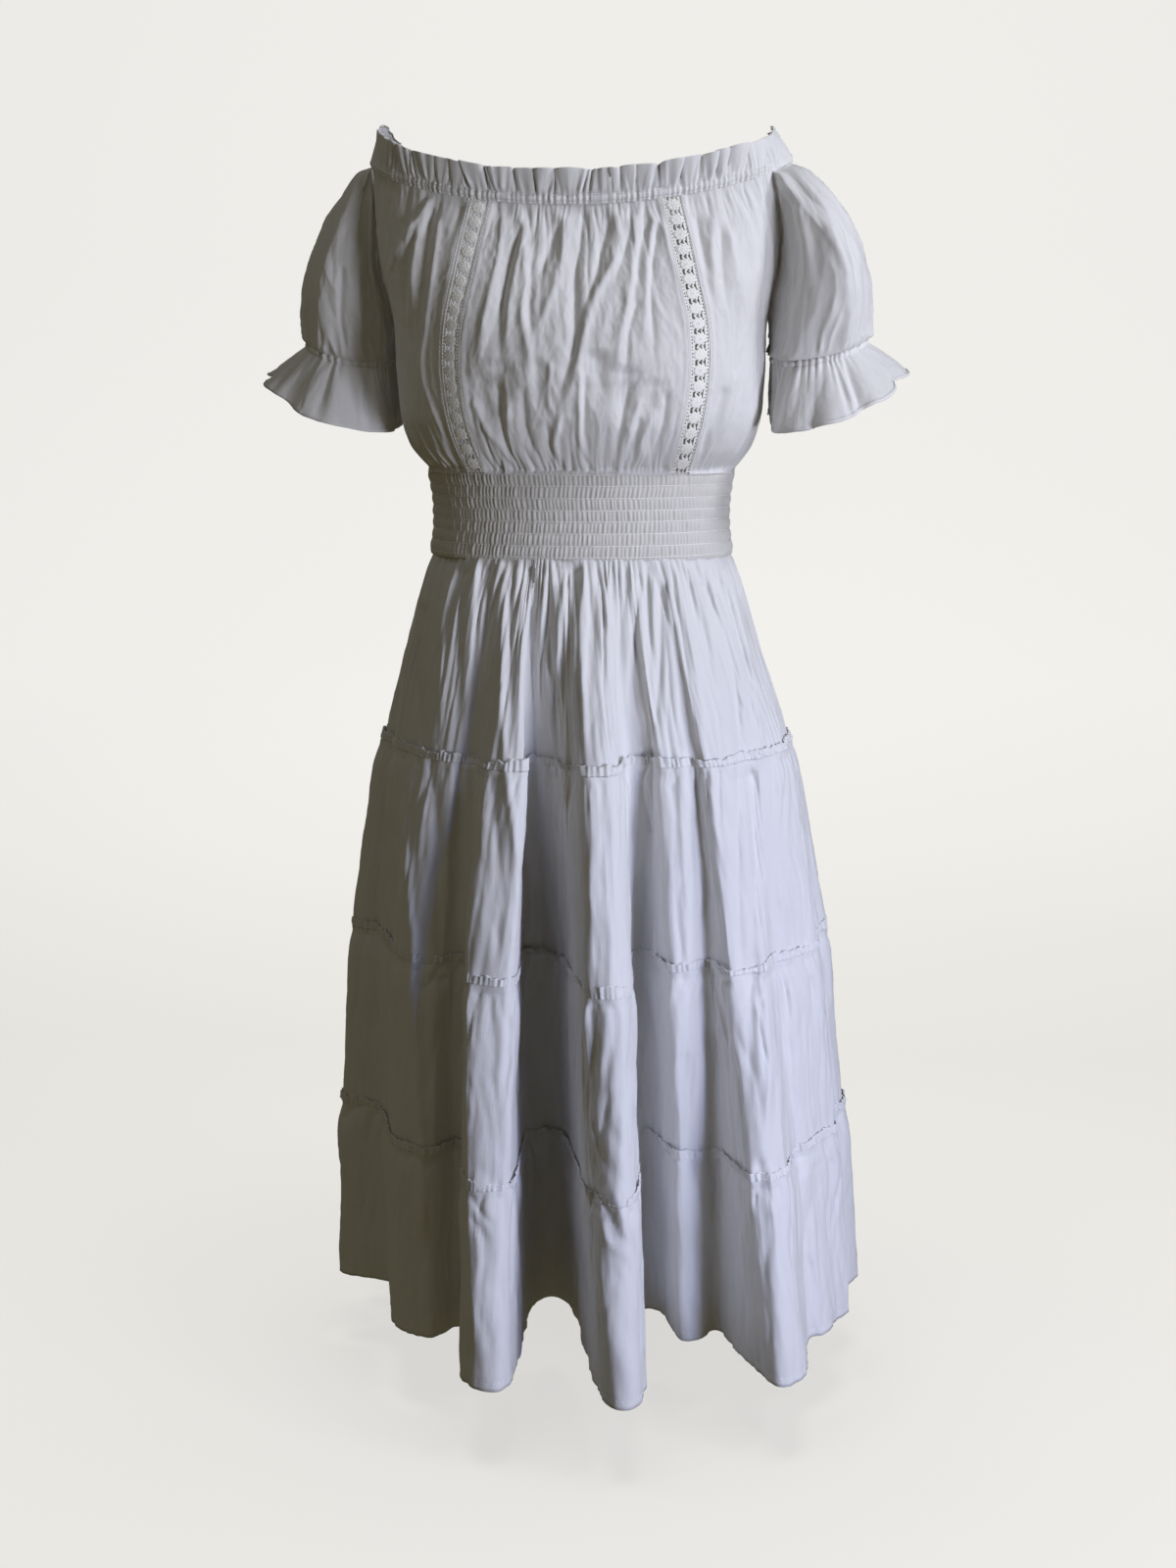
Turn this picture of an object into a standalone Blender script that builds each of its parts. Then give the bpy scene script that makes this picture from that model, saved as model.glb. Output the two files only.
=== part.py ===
"""A worn off-shoulder peasant dress of thin white cotton, in metres with +Z up.

The front faces -Y and +X is the wearer's left. The origin is the middle of the smocked waist,
where the wearer holds the dress up.
"""

import math

import bpy
import numpy as np

# Cloth
WALL = 0.0012
SEAM_GAP = 0.0004
ANGLED_SEAM_GAP = 0.0009
PLAIN_COTTON = (0.80, 0.80, 0.81)
LACE_COTTON = (0.84, 0.83, 0.80)
SMOCKED_COTTON = (0.74, 0.74, 0.75)

# Bodice and neckline
BODICE_BOTTOM = 0.0376
BODICE_TOP = 0.295
UNDERARM = 0.165
NECK_FRONT = 0.257
NECK_SIDE = 0.298
NECK_BACK = 0.264
NECK_CURVE = 2.4
RAGLAN_TURN = math.radians(68)
NECK_TWIST = math.radians(8)
RAGLAN_CURVE = 0.8
LEVELS_BELOW_UNDERARM = (0.0, 0.05, 0.14, 0.30)
LEVELS_ABOVE_UNDERARM = (0.61, 0.72, 0.83, 0.93)
CENTRE_GATHERS = 9
SIDE_GATHERS = 3
BACK_GATHERS = 10
GATHER_AT_NECK = 0.0030
GATHER_AT_CHEST = 0.0016
GATHER_AT_WAIST = 0.0032

# Neck casing and ruffle
CASING_HEIGHT = 0.008
CASING_COLUMNS = 52
RUFFLE_FRONT = 0.0225
RUFFLE_SIDE = 0.031
RUFFLE_WAVES = 40
RUFFLE_FOOT_WAVE = 0.0012
RUFFLE_TOP_WAVE = 0.0042
RUFFLE_FLARE_FRONT = 0.003
RUFFLE_LEAN_SIDE = -0.004

# Lace insertions
LACE_HALF = 0.0115
LACE_SHIFT = 0.004
LACE_REPEATS = 13
LACE_EDGE_SHARE = 0.17
LACE_MIDDLE_SHARE = 0.13
LACE_HOLE_START = 0.55
LACE_HOLE_END = 0.82

# Smocked waist
WAIST_HALF_HEIGHT = 0.037
STITCH_ROWS = 8
STITCH_PITCH = 0.0100
SMOCK_COLUMNS = 24
SMOCK_WALL = 0.0014
SMOCK_RISE = 0.0016
SMOCK_PUCKER = 0.0009
SMOCK_INSIDE_HEIGHTS = (-0.037, -0.013, 0.013, 0.037)

# Sleeves
SLEEVE_COLUMNS_AT_NECK = 18
SLEEVE_ROWS = (0.0, 0.08, 0.25, 0.48, 0.72, 0.91, 1.0)
PUFF_OUT = 0.028
PUFF_GATHER = 0.0022
PUFF_STEEP_AT_NECK = 0.45
PUFF_STEEP_AT_CUFF = 0.9
SLEEVE_HEAD_OUT = 0.8
CUFF_CENTRE = 0.2065
CUFF_HEIGHT = 0.139
CUFF_TILT_OUT = 0.008
CUFF_TILT_FRONT = 0.010
CUFF_HALF_WIDTH = 0.041
CUFF_HALF_DEPTH = 0.046
CUFF_CASING = 0.006
CUFF_FRILL_WAVES = 9
CUFF_FRILL_WAVE = 0.007
FRILL_DROP_IN = 0.055
FRILL_DROP_FRONT = 0.056
FRILL_FLARE_FRONT = 0.024
FRILL_FLARE_OUT = 0.034

# Skirt
SEAM_LEVELS = (-0.0376, -0.203, -0.380, -0.552, -0.730)
SEAM_SAG = 0.006
SKIRT_COLUMNS_PER_FOLD = 6
TIER_ROWS = (
    (0.0, 0.10, 0.32, 0.64, 1.0),
    (0.0, 0.12, 0.45, 1.0),
    (0.0, 0.12, 0.45, 1.0),
    (0.0, 0.12, 1.0),
)
TIER_PUFF = 0.004
TIER_PUFF_DROP = 0.020
TIER_GATHER = 0.0016
TIER_GATHER_FADE = 0.05
FOLD_SHARE_AT_SEAM_1 = 0.38
FOLD_FREE_SHARE = 0.35
FRILL_HEIGHT = 0.0115
FRILL_FOOT_OUT = 0.0023
FRILL_TOP_OUT = 0.0048
FRILL_WAVE = 0.0016
FRILL_UNEVEN = 0.12
COLUMNS_PER_FRILL_WAVE = 3

# The two sleeves: name, side, how far back the cuff hangs, front puff, drop of the frill's outer tip
SLEEVES = (
    ("left", 1, -0.004, 0.018, 0.024),
    ("right", -1, 0.024, 0.006, 0.026),
)

# Sections of the bodice: height, half width, front depth, back depth, squareness
BODICE_SECTIONS = (
    (0.037, 0.1360, 0.096, 0.093, 2.10),
    (0.055, 0.1490, 0.111, 0.101, 2.15),
    (0.075, 0.1560, 0.122, 0.107, 2.20),
    (0.115, 0.1600, 0.131, 0.113, 2.20),
    (0.165, 0.1620, 0.131, 0.118, 2.25),
    (0.215, 0.1730, 0.121, 0.119, 2.35),
    (0.255, 0.1770, 0.110, 0.117, 2.45),
    (0.295, 0.1790, 0.104, 0.114, 2.50),
)

# Sections of the smocked waist: height, half width, half depth
WAIST_SECTIONS = (
    (-0.037, 0.1330, 0.0940),
    (-0.010, 0.1295, 0.0920),
    (0.010, 0.1300, 0.0920),
    (0.037, 0.1340, 0.0940),
)

# Sections of the skirt before its folds: height, half width, front depth, back depth, shift to the left
SKIRT_SECTIONS = (
    (-0.730, 0.2410, 0.160, 0.165, 0.0135),
    (-0.552, 0.2310, 0.155, 0.158, 0.0090),
    (-0.380, 0.2150, 0.148, 0.150, 0.0055),
    (-0.203, 0.1850, 0.138, 0.138, 0.0040),
    (-0.090, 0.1510, 0.116, 0.116, 0.0000),
    (-0.037, 0.1340, 0.097, 0.096, 0.0000),
)

# Where the lace lies: height, distance of its middle line from the centre front
LACE_PATH = (
    (0.037, 0.0870),
    (0.087, 0.1000),
    (0.119, 0.1035),
    (0.150, 0.1020),
    (0.189, 0.0940),
    (0.228, 0.0855),
    (0.260, 0.0775),
)

# Folds of the skirt, one row each, round from the centre front towards the wearer's left.
# crest turn, crest reach at the hem, crest lean, crest half width, trough turn, trough reach at the
# hem, trough half width, share of the reach at the second seam. Turns and widths are in degrees.
SKIRT_FOLDS = (
    (6.5, 0.073, 0.009, 4.4, 18.2, -0.080, 2.6, 0.70),
    (25.6, -0.028, 0.000, 2.4, 32.0, -0.030, 1.9, 0.30),
    (40.4, 0.070, -0.010, 4.4, 54.5, 0.016, 2.6, 0.32),
    (70.0, 0.008, 0.000, 4.5, 84.0, -0.008, 3.0, 0.50),
    (104.0, 0.014, 0.000, 5.0, 114.0, -0.022, 2.5, 0.60),
    (126.0, 0.036, 0.004, 5.0, 137.0, -0.034, 2.5, 0.55),
    (149.0, 0.046, -0.004, 5.0, 160.0, -0.044, 2.5, 0.60),
    (171.0, 0.040, 0.005, 5.0, 182.0, -0.030, 3.0, 0.50),
    (194.0, 0.050, 0.000, 4.5, 206.0, -0.048, 2.5, 0.65),
    (218.0, 0.038, -0.005, 5.0, 230.0, -0.030, 2.5, 0.55),
    (243.0, 0.024, 0.004, 4.5, 254.0, -0.022, 2.5, 0.60),
    (268.0, 0.004, 0.000, 5.0, 287.0, -0.040, 3.0, 0.50),
    (320.0, 0.003, 0.000, 5.5, 330.5, -0.026, 2.2, 0.60),
    (344.0, 0.061, 0.000, 5.2, 349.0, -0.094, 4.2, 0.55),
)


def clear_scene():
    for obj in list(bpy.data.objects):
        bpy.data.objects.remove(obj)


def cloth_material(name, colour):
    material = bpy.data.materials.new(name)
    material.use_nodes = True
    shader = material.node_tree.nodes["Principled BSDF"]
    shader.inputs["Base Color"].default_value = (*colour, 1.0)
    shader.inputs["Roughness"].default_value = 0.85
    shader.inputs["Metallic"].default_value = 0.0
    return material


def read_table(table, height):
    """The columns after the first of a table at a height, by a smooth curve through its rows."""
    rows = np.array(sorted(table))
    keys = rows[:, 0]
    slopes = np.gradient(rows[:, 1:], keys, axis=0)
    height = np.clip(np.asarray(height, float), keys[0], keys[-1])
    index = np.clip(np.searchsorted(keys, height, side="right") - 1, 0, len(keys) - 2)
    span = keys[index + 1] - keys[index]
    t = ((height - keys[index]) / span)[..., None]
    span = span[..., None]
    start = (1 + 2 * t) * (1 - t) ** 2 * rows[index, 1:]
    end = t**2 * (3 - 2 * t) * rows[index + 1, 1:]
    rise = t * (1 - t) ** 2 * span * slopes[index]
    fall = t**2 * (t - 1) * span * slopes[index + 1]
    return np.moveaxis(start + end + rise + fall, -1, 0)


def points_of(x, y, z):
    return np.stack(np.broadcast_arrays(x, y, z), axis=-1)


# Bodice


def neckline(turn):
    """Height of the middle of the neck casing."""
    low = np.where(np.cos(turn) > 0, NECK_FRONT, NECK_BACK)
    return low + (NECK_SIDE - low) * np.abs(np.sin(turn)) ** NECK_CURVE


def bodice_outline(turn, level, out=0.0):
    """x and y on the bodice ring of a level, 0 at the waist and 1 at the neck, moved out if asked."""
    height = BODICE_BOTTOM + np.asarray(level) * (BODICE_TOP - BODICE_BOTTOM)
    width, front, back, square = read_table(BODICE_SECTIONS, height)
    depth = np.where(np.cos(turn) > 0, front, back)
    across = np.sin(turn)
    along = np.cos(turn)
    round_off = (np.abs(across) ** square + np.abs(along) ** square) ** (-1 / square)
    normal = np.hypot(across * depth, along * width)
    x = width * across * round_off + out * across * depth / normal
    y = -depth * along * round_off - out * along * width / normal
    return x, y


def bodice_point(turn, level, out=0.0):
    x, y = bodice_outline(turn, level, out)
    top = neckline(turn) - CASING_HEIGHT / 2 - SEAM_GAP
    return points_of(x, y, BODICE_BOTTOM + np.asarray(level) * (top - BODICE_BOTTOM))


def gather_depth(level):
    """How far the gathers stand off the cloth, most at the two gathered ends."""
    level = np.asarray(level)
    neck = GATHER_AT_NECK * np.clip(level / 0.35 - 1.86, 0, 1) ** 1.5
    waist = GATHER_AT_WAIST * np.clip(1 - level / 0.35, 0, 1) ** 1.5
    return GATHER_AT_CHEST + neck + waist


UNDERARM_LEVEL = (UNDERARM - BODICE_BOTTOM) / (BODICE_TOP - BODICE_BOTTOM)
BODICE_LEVELS = np.array([*LEVELS_BELOW_UNDERARM, UNDERARM_LEVEL, *LEVELS_ABOVE_UNDERARM, 1.0])


def climb_of(level):
    """How far up the raglan seams a level is, 0 at the underarm and 1 at the neck."""
    return np.clip((np.asarray(level) - UNDERARM_LEVEL) / (1 - UNDERARM_LEVEL), 0, 1)


def front_seam(level, side):
    """How far round from the centre front a side's seam lies: the side seam, then the raglan seam."""
    climb = climb_of(level)
    return math.pi / 2 - (math.pi / 2 - RAGLAN_TURN) * climb**RAGLAN_CURVE - side * NECK_TWIST * climb


def back_seam(level, side):
    """How far round from the centre front the same side's seam with the back lies."""
    climb = climb_of(level)
    return math.pi / 2 + (math.pi / 2 - RAGLAN_TURN) * climb**RAGLAN_CURVE - side * NECK_TWIST * climb


def lace_turn(level, across, side):
    """How far round from the centre the lace of a side lies, across of -1 at its inner edge, 1 at its outer."""
    level = np.atleast_1d(level)
    height = BODICE_BOTTOM + level * (NECK_FRONT - BODICE_BOTTOM)
    wanted = read_table(LACE_PATH, height)[0] + across * LACE_HALF + side * LACE_SHIFT
    turns = np.linspace(0, math.pi / 2, 181)
    found = []
    for row_level, row_x in zip(level, wanted):
        x = bodice_outline(turns, row_level)[0]
        found.append(np.interp(row_x, x, turns))
    return np.array(found)


def gathered_panel(first_turn, last_turn, gathers):
    """A bodice panel between two edges, with its gathers running up and down it."""
    share = np.linspace(0, 1, 2 * gathers + 1)
    start = first_turn(BODICE_LEVELS)[:, None]
    end = last_turn(BODICE_LEVELS)[:, None]
    turn = start + (end - start) * share
    wave = np.cos(math.pi * np.arange(len(share)))
    wave[[0, -1]] = 0
    levels = np.broadcast_to(BODICE_LEVELS[:, None], turn.shape)
    return bodice_point(turn, levels, gather_depth(levels) * wave)


def seam_turn(width, gap=SEAM_GAP):
    """Half a seam gap as a turn on a ring of this half width."""
    return gap / 2 / width


def lace_cells():
    """The lace strip as a lattice: places across it, levels up it, and the cells left open."""
    edge = 1 - 2 * LACE_EDGE_SHARE
    across = np.array([-1, -edge, -LACE_MIDDLE_SHARE, LACE_MIDDLE_SHARE, edge, 1])
    levels = [0.0]
    holes = set()
    for repeat in range(LACE_REPEATS):
        levels.append((repeat + LACE_HOLE_START) / LACE_REPEATS)
        levels.append((repeat + LACE_HOLE_END) / LACE_REPEATS)
        holes |= {(2 * repeat + 1, 1), (2 * repeat + 1, 3)}
    levels.append(1.0)
    return across, np.array(levels), holes


def between_rows(rows, row_levels, levels):
    """Points on the straight lines between the rows of a grid, at other levels."""
    index = np.clip(np.searchsorted(row_levels, levels, side="right") - 1, 0, len(row_levels) - 2)
    share = (levels - row_levels[index]) / (row_levels[index + 1] - row_levels[index])
    share = share[:, None, None]
    return rows[index] * (1 - share) + rows[index + 1] * share


# Grids and walls


def grid_faces(rows, columns, closed, holes=()):
    faces = []
    for row in range(rows - 1):
        for column in range(columns if closed else columns - 1):
            if (row, column) in holes:
                continue
            after = (column + 1) % columns
            low = row * columns
            high = low + columns
            faces.append((low + column, low + after, high + after, high + column))
    return faces


def new_object(name, points, faces, material, collection):
    mesh = bpy.data.meshes.new(name)
    mesh.from_pydata([tuple(point) for point in points.reshape(-1, 3)], [], faces)
    mesh.materials.append(material)
    mesh.shade_smooth()
    obj = bpy.data.objects.new(name, mesh)
    collection.objects.link(obj)
    return obj


def cloth_wall(name, points, material, collection, closed=False, holes=()):
    """A grid of points, row by row, as a wall of cloth centred on them."""
    rows, columns = points.shape[:2]
    faces = grid_faces(rows, columns, closed, holes)
    obj = new_object(name, points, faces, material, collection)
    wall = obj.modifiers.new("wall", "SOLIDIFY")
    wall.thickness = WALL
    wall.offset = 0.0
    wall.use_quality_normals = True
    return obj


# Pieces of the bodice


def build_bodice(material, collection):
    def inner_left(level):
        return lace_turn(level, -1, 1) - seam_turn(0.1, ANGLED_SEAM_GAP)

    def inner_right(level):
        return -lace_turn(level, -1, -1) + seam_turn(0.1, ANGLED_SEAM_GAP)

    def outer_left(level):
        return lace_turn(level, 1, 1) + seam_turn(0.1, ANGLED_SEAM_GAP)

    def outer_right(level):
        return -lace_turn(level, 1, -1) - seam_turn(0.1, ANGLED_SEAM_GAP)

    def side_left(level):
        return front_seam(level, 1) - seam_turn(0.16, ANGLED_SEAM_GAP)

    def side_right(level):
        return -front_seam(level, -1) + seam_turn(0.16, ANGLED_SEAM_GAP)

    def back_left(level):
        return back_seam(level, 1) + seam_turn(0.16, ANGLED_SEAM_GAP)

    def back_right(level):
        return 2 * math.pi - back_seam(level, -1) - seam_turn(0.16, ANGLED_SEAM_GAP)

    panels = (
        ("bodice_front_centre", inner_right, inner_left, CENTRE_GATHERS),
        ("bodice_front_left", outer_left, side_left, SIDE_GATHERS),
        ("bodice_front_right", side_right, outer_right, SIDE_GATHERS),
        ("bodice_back", back_left, back_right, BACK_GATHERS),
    )
    for name, first, last, gathers in panels:
        cloth_wall(name, gathered_panel(first, last, gathers), material, collection)


def build_lace(material, collection):
    across, levels, holes = lace_cells()
    for name, side in (("lace_left", 1), ("lace_right", -1)):
        turn = np.stack([lace_turn(BODICE_LEVELS, place, side) for place in across], axis=1)
        rows = bodice_point(turn, np.broadcast_to(BODICE_LEVELS[:, None], turn.shape))
        points = between_rows(rows, BODICE_LEVELS, levels)
        points = points if side > 0 else mirrored(points)
        cloth_wall(name, points, material, collection, holes=holes)


# Neck


def neck_band(turn, low, high, out_low, out_high):
    """Two rows of points along the neckline, from one height above the casing's middle to another."""
    rows = []
    for rise, out in ((low, out_low), (high, out_high)):
        x, y = bodice_outline(turn, 1.0, out)
        rows.append(points_of(x, y, neckline(turn) + rise))
    return np.array(rows)


def build_neck_casing(material, collection):
    half = math.pi / 2 - seam_turn(0.18)
    for name, middle in (("neck_casing_front", 0.0), ("neck_casing_back", math.pi)):
        turn = middle + np.linspace(-half, half, CASING_COLUMNS // 2 + 1)
        band = neck_band(turn, -CASING_HEIGHT / 2, CASING_HEIGHT / 2, 0.0, 0.0)
        cloth_wall(name, band, material, collection)


def build_neck_ruffle(material, collection):
    """The upright heading in four lengths, its waves counted once round the neck."""
    sides = (
        ("neck_ruffle_front", -front_seam(1, -1), front_seam(1, 1), 16),
        ("neck_ruffle_left", front_seam(1, 1), back_seam(1, 1), 4),
        ("neck_ruffle_back", back_seam(1, 1), 2 * math.pi - back_seam(1, -1), 16),
        ("neck_ruffle_right", 2 * math.pi - back_seam(1, -1), 2 * math.pi - front_seam(1, -1), 4),
    )
    foot = CASING_HEIGHT / 2 + SEAM_GAP
    for name, first, last, waves in sides:
        turn = np.linspace(first + seam_turn(0.17), last - seam_turn(0.17), 4 * waves + 1)
        wave = np.sin(math.pi / 2 * np.arange(4 * waves + 1))
        rise = RUFFLE_FRONT + (RUFFLE_SIDE - RUFFLE_FRONT) * np.abs(np.sin(turn)) ** 3
        low = RUFFLE_FOOT_WAVE * wave
        lean = RUFFLE_FLARE_FRONT + (RUFFLE_LEAN_SIDE - RUFFLE_FLARE_FRONT) * np.abs(np.sin(turn)) ** 4
        high = lean + RUFFLE_TOP_WAVE * wave
        cloth_wall(name, neck_band(turn, foot, rise, low, high), material, collection)


# Sleeves


def sleeve_edge(side):
    """Level and turn of each column's upper end: up the front raglan seam, along the neck, down the back."""
    seam_levels = BODICE_LEVELS[len(LEVELS_BELOW_UNDERARM):-1]
    clear = 1.5 * ANGLED_SEAM_GAP / 0.16
    front = front_seam(seam_levels, side) + clear
    back = back_seam(seam_levels, side) - clear
    front[0] = math.pi / 2
    at_neck = np.linspace(front_seam(1, side) + clear, back_seam(1, side) - clear, SLEEVE_COLUMNS_AT_NECK + 1)
    levels = np.concatenate([seam_levels, np.ones_like(at_neck), seam_levels[:0:-1]])
    return levels, np.concatenate([front, at_neck, back[:0:-1]])


def sleeve_top(side):
    """The points of the sleeve's upper edge, clear of the bodice's wall at the underarm."""
    levels, turns = sleeve_edge(side)
    near_underarm = np.clip(1 - (levels - UNDERARM_LEVEL) / (LEVELS_ABOVE_UNDERARM[1] - UNDERARM_LEVEL), 0, 1)
    on_seam = (levels < 1) * ANGLED_SEAM_GAP
    points = bodice_point(turns, levels, on_seam + near_underarm * WALL)
    points[:, 2] -= ANGLED_SEAM_GAP / 2
    return points


def cuff_ring(share, height, back, widen=0.0):
    """A ring of the cuff on the wearer's left, from its inner side round by the front."""
    angle = 2 * math.pi * np.asarray(share)
    x = CUFF_CENTRE - (CUFF_HALF_WIDTH + widen) * np.cos(angle)
    y = back - (CUFF_HALF_DEPTH + widen) * np.sin(angle)
    return points_of(x, y, height - CUFF_TILT_OUT * np.cos(angle) - CUFF_TILT_FRONT * np.sin(angle))


def sleeve_points(share, rows, side, back, front_puff):
    """Rows of a sleeve, as on the wearer's left, from the cuff up to its upper edge."""
    angle = 2 * math.pi * share
    low = cuff_ring(share, CUFF_HEIGHT + CUFF_CASING / 2 + ANGLED_SEAM_GAP, back)
    high = sleeve_top(side)
    outer = (1 - np.cos(angle)) / 2
    puff = PUFF_OUT * outer + front_puff * np.sin(angle) ** 2
    sideways = np.maximum(-np.cos(angle), SLEEVE_HEAD_OUT * np.abs(np.sin(angle)))
    away = np.stack([sideways, -np.sin(angle), np.zeros_like(angle)], axis=-1)
    wave = np.cos(math.pi * np.arange(len(share))) * outer
    fullest = PUFF_STEEP_AT_CUFF / (PUFF_STEEP_AT_CUFF + PUFF_STEEP_AT_NECK)
    most = fullest**PUFF_STEEP_AT_CUFF * (1 - fullest) ** PUFF_STEEP_AT_NECK
    points = []
    for up in rows:
        swell = puff * up**PUFF_STEEP_AT_CUFF * (1 - up) ** PUFF_STEEP_AT_NECK / most
        swell = swell + PUFF_GATHER * wave * math.sin(math.pi * up)
        points.append(low * (1 - up) + high * up + away * swell[:, None])
    return np.array(points)


def cuff_frill_points(share, back, outer_drop):
    """Rows of a cuff frill, as on the wearer's left, from its waved hem up to the casing."""
    angle = 2 * math.pi * share
    outer = (1 - np.cos(angle)) / 2
    front = np.sin(angle) ** 2
    flare = FRILL_FLARE_OUT * outer**2 + FRILL_FLARE_FRONT * front
    drop = FRILL_DROP_IN + (outer_drop - FRILL_DROP_IN) * outer**3
    drop = drop + (FRILL_DROP_FRONT - FRILL_DROP_IN) * front
    wave = CUFF_FRILL_WAVE * np.cos(CUFF_FRILL_WAVES * angle) * (0.15 + 0.85 * outer)
    top = CUFF_HEIGHT - CUFF_CASING / 2 - ANGLED_SEAM_GAP
    points = []
    for down in (1.0, 0.5, 0.0):
        points.append(cuff_ring(share, top - drop * down, back, (flare + wave) * down**0.9))
    return np.array(points)


def mirrored(points):
    """The same piece on the wearer's right, with its columns turned round to keep it facing out."""
    return points[:, ::-1] * np.array([-1.0, 1.0, 1.0])


def build_sleeves(material, collection):
    columns = len(sleeve_edge(1)[0])
    share = np.arange(columns) / columns
    frill_columns = 4 * CUFF_FRILL_WAVES
    frill_share = np.arange(frill_columns) / frill_columns
    for side_name, side, back, front_puff, outer_drop in SLEEVES:
        casing = []
        for height in (-CUFF_CASING / 2, CUFF_CASING / 2):
            casing.append(cuff_ring(share, CUFF_HEIGHT + height, back))
        pieces = (
            ("sleeve_", sleeve_points(share, SLEEVE_ROWS, side, back, front_puff)),
            ("cuff_casing_", np.array(casing)),
            ("cuff_frill_", cuff_frill_points(frill_share, back, outer_drop)),
        )
        for name, points in pieces:
            points = points[:, ::-1] if side > 0 else mirrored(points[:, ::-1])
            cloth_wall(name + side_name, points, material, collection, closed=True)


# Waist


def waist_outline(turn, height, out):
    width, depth = read_table(WAIST_SECTIONS, height)
    across = np.sin(turn)
    along = np.cos(turn)
    normal = np.hypot(across * depth, along * width)
    x = width * across + out * across * depth / normal
    y = -depth * along - out * along * width / normal
    return points_of(x, y, height)


def smocked_half(name, middle, material, collection):
    """Half the smocked waist: puckered between the stitch rows outside, plain inside."""
    half = math.pi / 2 - seam_turn(0.13)
    turn = middle + np.linspace(-half, half, SMOCK_COLUMNS + 1)
    stitched = STITCH_PITCH * (np.arange(STITCH_ROWS) - (STITCH_ROWS - 1) / 2)
    puffed = (stitched[:-1] + stitched[1:]) / 2
    heights = np.sort(np.concatenate([[-WAIST_HALF_HEIGHT], stitched, puffed, [WAIST_HALF_HEIGHT]]))
    pucker = SMOCK_PUCKER * np.cos(math.pi * np.arange(SMOCK_COLUMNS + 1))
    outer = []
    for number, height in enumerate(heights):
        is_puffed = number % 2 == 0 and 0 < number < len(heights) - 1
        rise = SMOCK_RISE + pucker * (-1) ** (number // 2) if is_puffed else 0.0
        outer.append(waist_outline(turn, height, SMOCK_WALL / 2 + rise))
    inner = [waist_outline(turn, height, -SMOCK_WALL / 2) for height in SMOCK_INSIDE_HEIGHTS]
    points = np.array(outer + inner)
    rows = len(outer)
    columns = len(turn)
    first = rows * columns
    last = (len(points) - 1) * columns
    faces = grid_faces(rows, columns, closed=False)
    for face in grid_faces(len(inner), columns, closed=False):
        faces.append(tuple(first + corner for corner in reversed(face)))
    for column in range(columns - 1):
        top = first - columns + column
        faces.append((column + 1, column, first + column, first + column + 1))
        faces.append((top, top + 1, last + column + 1, last + column))
    up = [row * columns for row in range(rows)]
    down = [row * columns for row in reversed(range(rows, len(points)))]
    faces.append(up + down)
    faces.append([corner + columns - 1 for corner in reversed(up + down)])
    new_object(name, points, faces, material, collection)


# Skirt


def seam_height(turn, level):
    """A tier seam or the hem at this level dips a little at the centre front."""
    return SEAM_LEVELS[level] - (SEAM_SAG * (1 + np.cos(turn)) / 2 if 0 < level < 4 else 0.0)


def fold_share(height, carry):
    """How much of a fold's reach at the hem is left at a height."""
    waist, seam_1, seam_2, _, hem = SEAM_LEVELS
    levels = np.array([hem, seam_2, seam_1, waist])
    shares = np.array([1.0, carry, carry * FOLD_SHARE_AT_SEAM_1, 0.0])
    return np.interp(height, levels, shares)


def skirt_base(turn, height):
    width, front, back, shift = read_table(SKIRT_SECTIONS, height)
    depth = front if math.cos(turn) > 0 else back
    return np.array([shift + width * math.sin(turn), -depth * math.cos(turn)]), width, depth


def fold_half_width(number, share):
    """Half widths of a fold's crest and trough, narrowed where a small share leaves it little room."""
    crest, _, _, half, trough, _, trough_half, _ = SKIRT_FOLDS[number]
    trough_before = SKIRT_FOLDS[number - 1][4] - (360 if number == 0 else 0)
    next_crest = SKIRT_FOLDS[(number + 1) % len(SKIRT_FOLDS)][0] + (360 if number == len(SKIRT_FOLDS) - 1 else 0)
    crest_room = 0.4 * min(crest - trough_before, trough - crest)
    trough_room = 0.4 * min(trough - crest, next_crest - trough)
    freed = min(1.0, share / FOLD_FREE_SHARE)
    crest_half = min(half, crest_room + freed * half)
    return crest_half, min(trough_half, trough_room + freed * trough_half)


def fold_corners(height):
    """The corners of the skirt's outline at a height, two on each crest and two in each trough."""
    corners = []
    for number, (crest, reach, lean, _, trough, depth, _, carry) in enumerate(SKIRT_FOLDS):
        share = float(fold_share(height, carry))
        crest_half, trough_half = fold_half_width(number, share)
        for middle, out, sideways, wide in (
            (crest, reach, lean, crest_half),
            (trough, depth, 0.0, trough_half),
        ):
            centre = math.radians(middle)
            _, width, deep = skirt_base(centre, height)
            normal = np.array([math.sin(centre) * deep, -math.cos(centre) * width])
            normal /= np.linalg.norm(normal)
            along = np.array([-normal[1], normal[0]])
            for sign in (-1, 1):
                turn = centre + sign * math.radians(wide)
                corner = skirt_base(turn, height)[0]
                corners.append(corner + share * (out * normal + sideways * along))
    return np.array(corners)


def smooth_ring(corners, per_corner):
    """A closed smooth curve through the corners, with the same number of points after each."""
    before = np.roll(corners, 1, axis=0)
    after = np.roll(corners, -1, axis=0)
    beyond = np.roll(corners, -2, axis=0)
    points = []
    for number in range(len(corners)):
        for step in range(per_corner[number % len(per_corner)]):
            t = step / per_corner[number % len(per_corner)]
            slope = (after[number] - before[number]) / 2
            next_slope = (beyond[number] - corners[number]) / 2
            points.append(
                (1 + 2 * t) * (1 - t) ** 2 * corners[number]
                + t * (1 - t) ** 2 * slope
                + t**2 * (3 - 2 * t) * after[number]
                + t**2 * (t - 1) * next_slope
            )
    return np.array(points)


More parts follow.
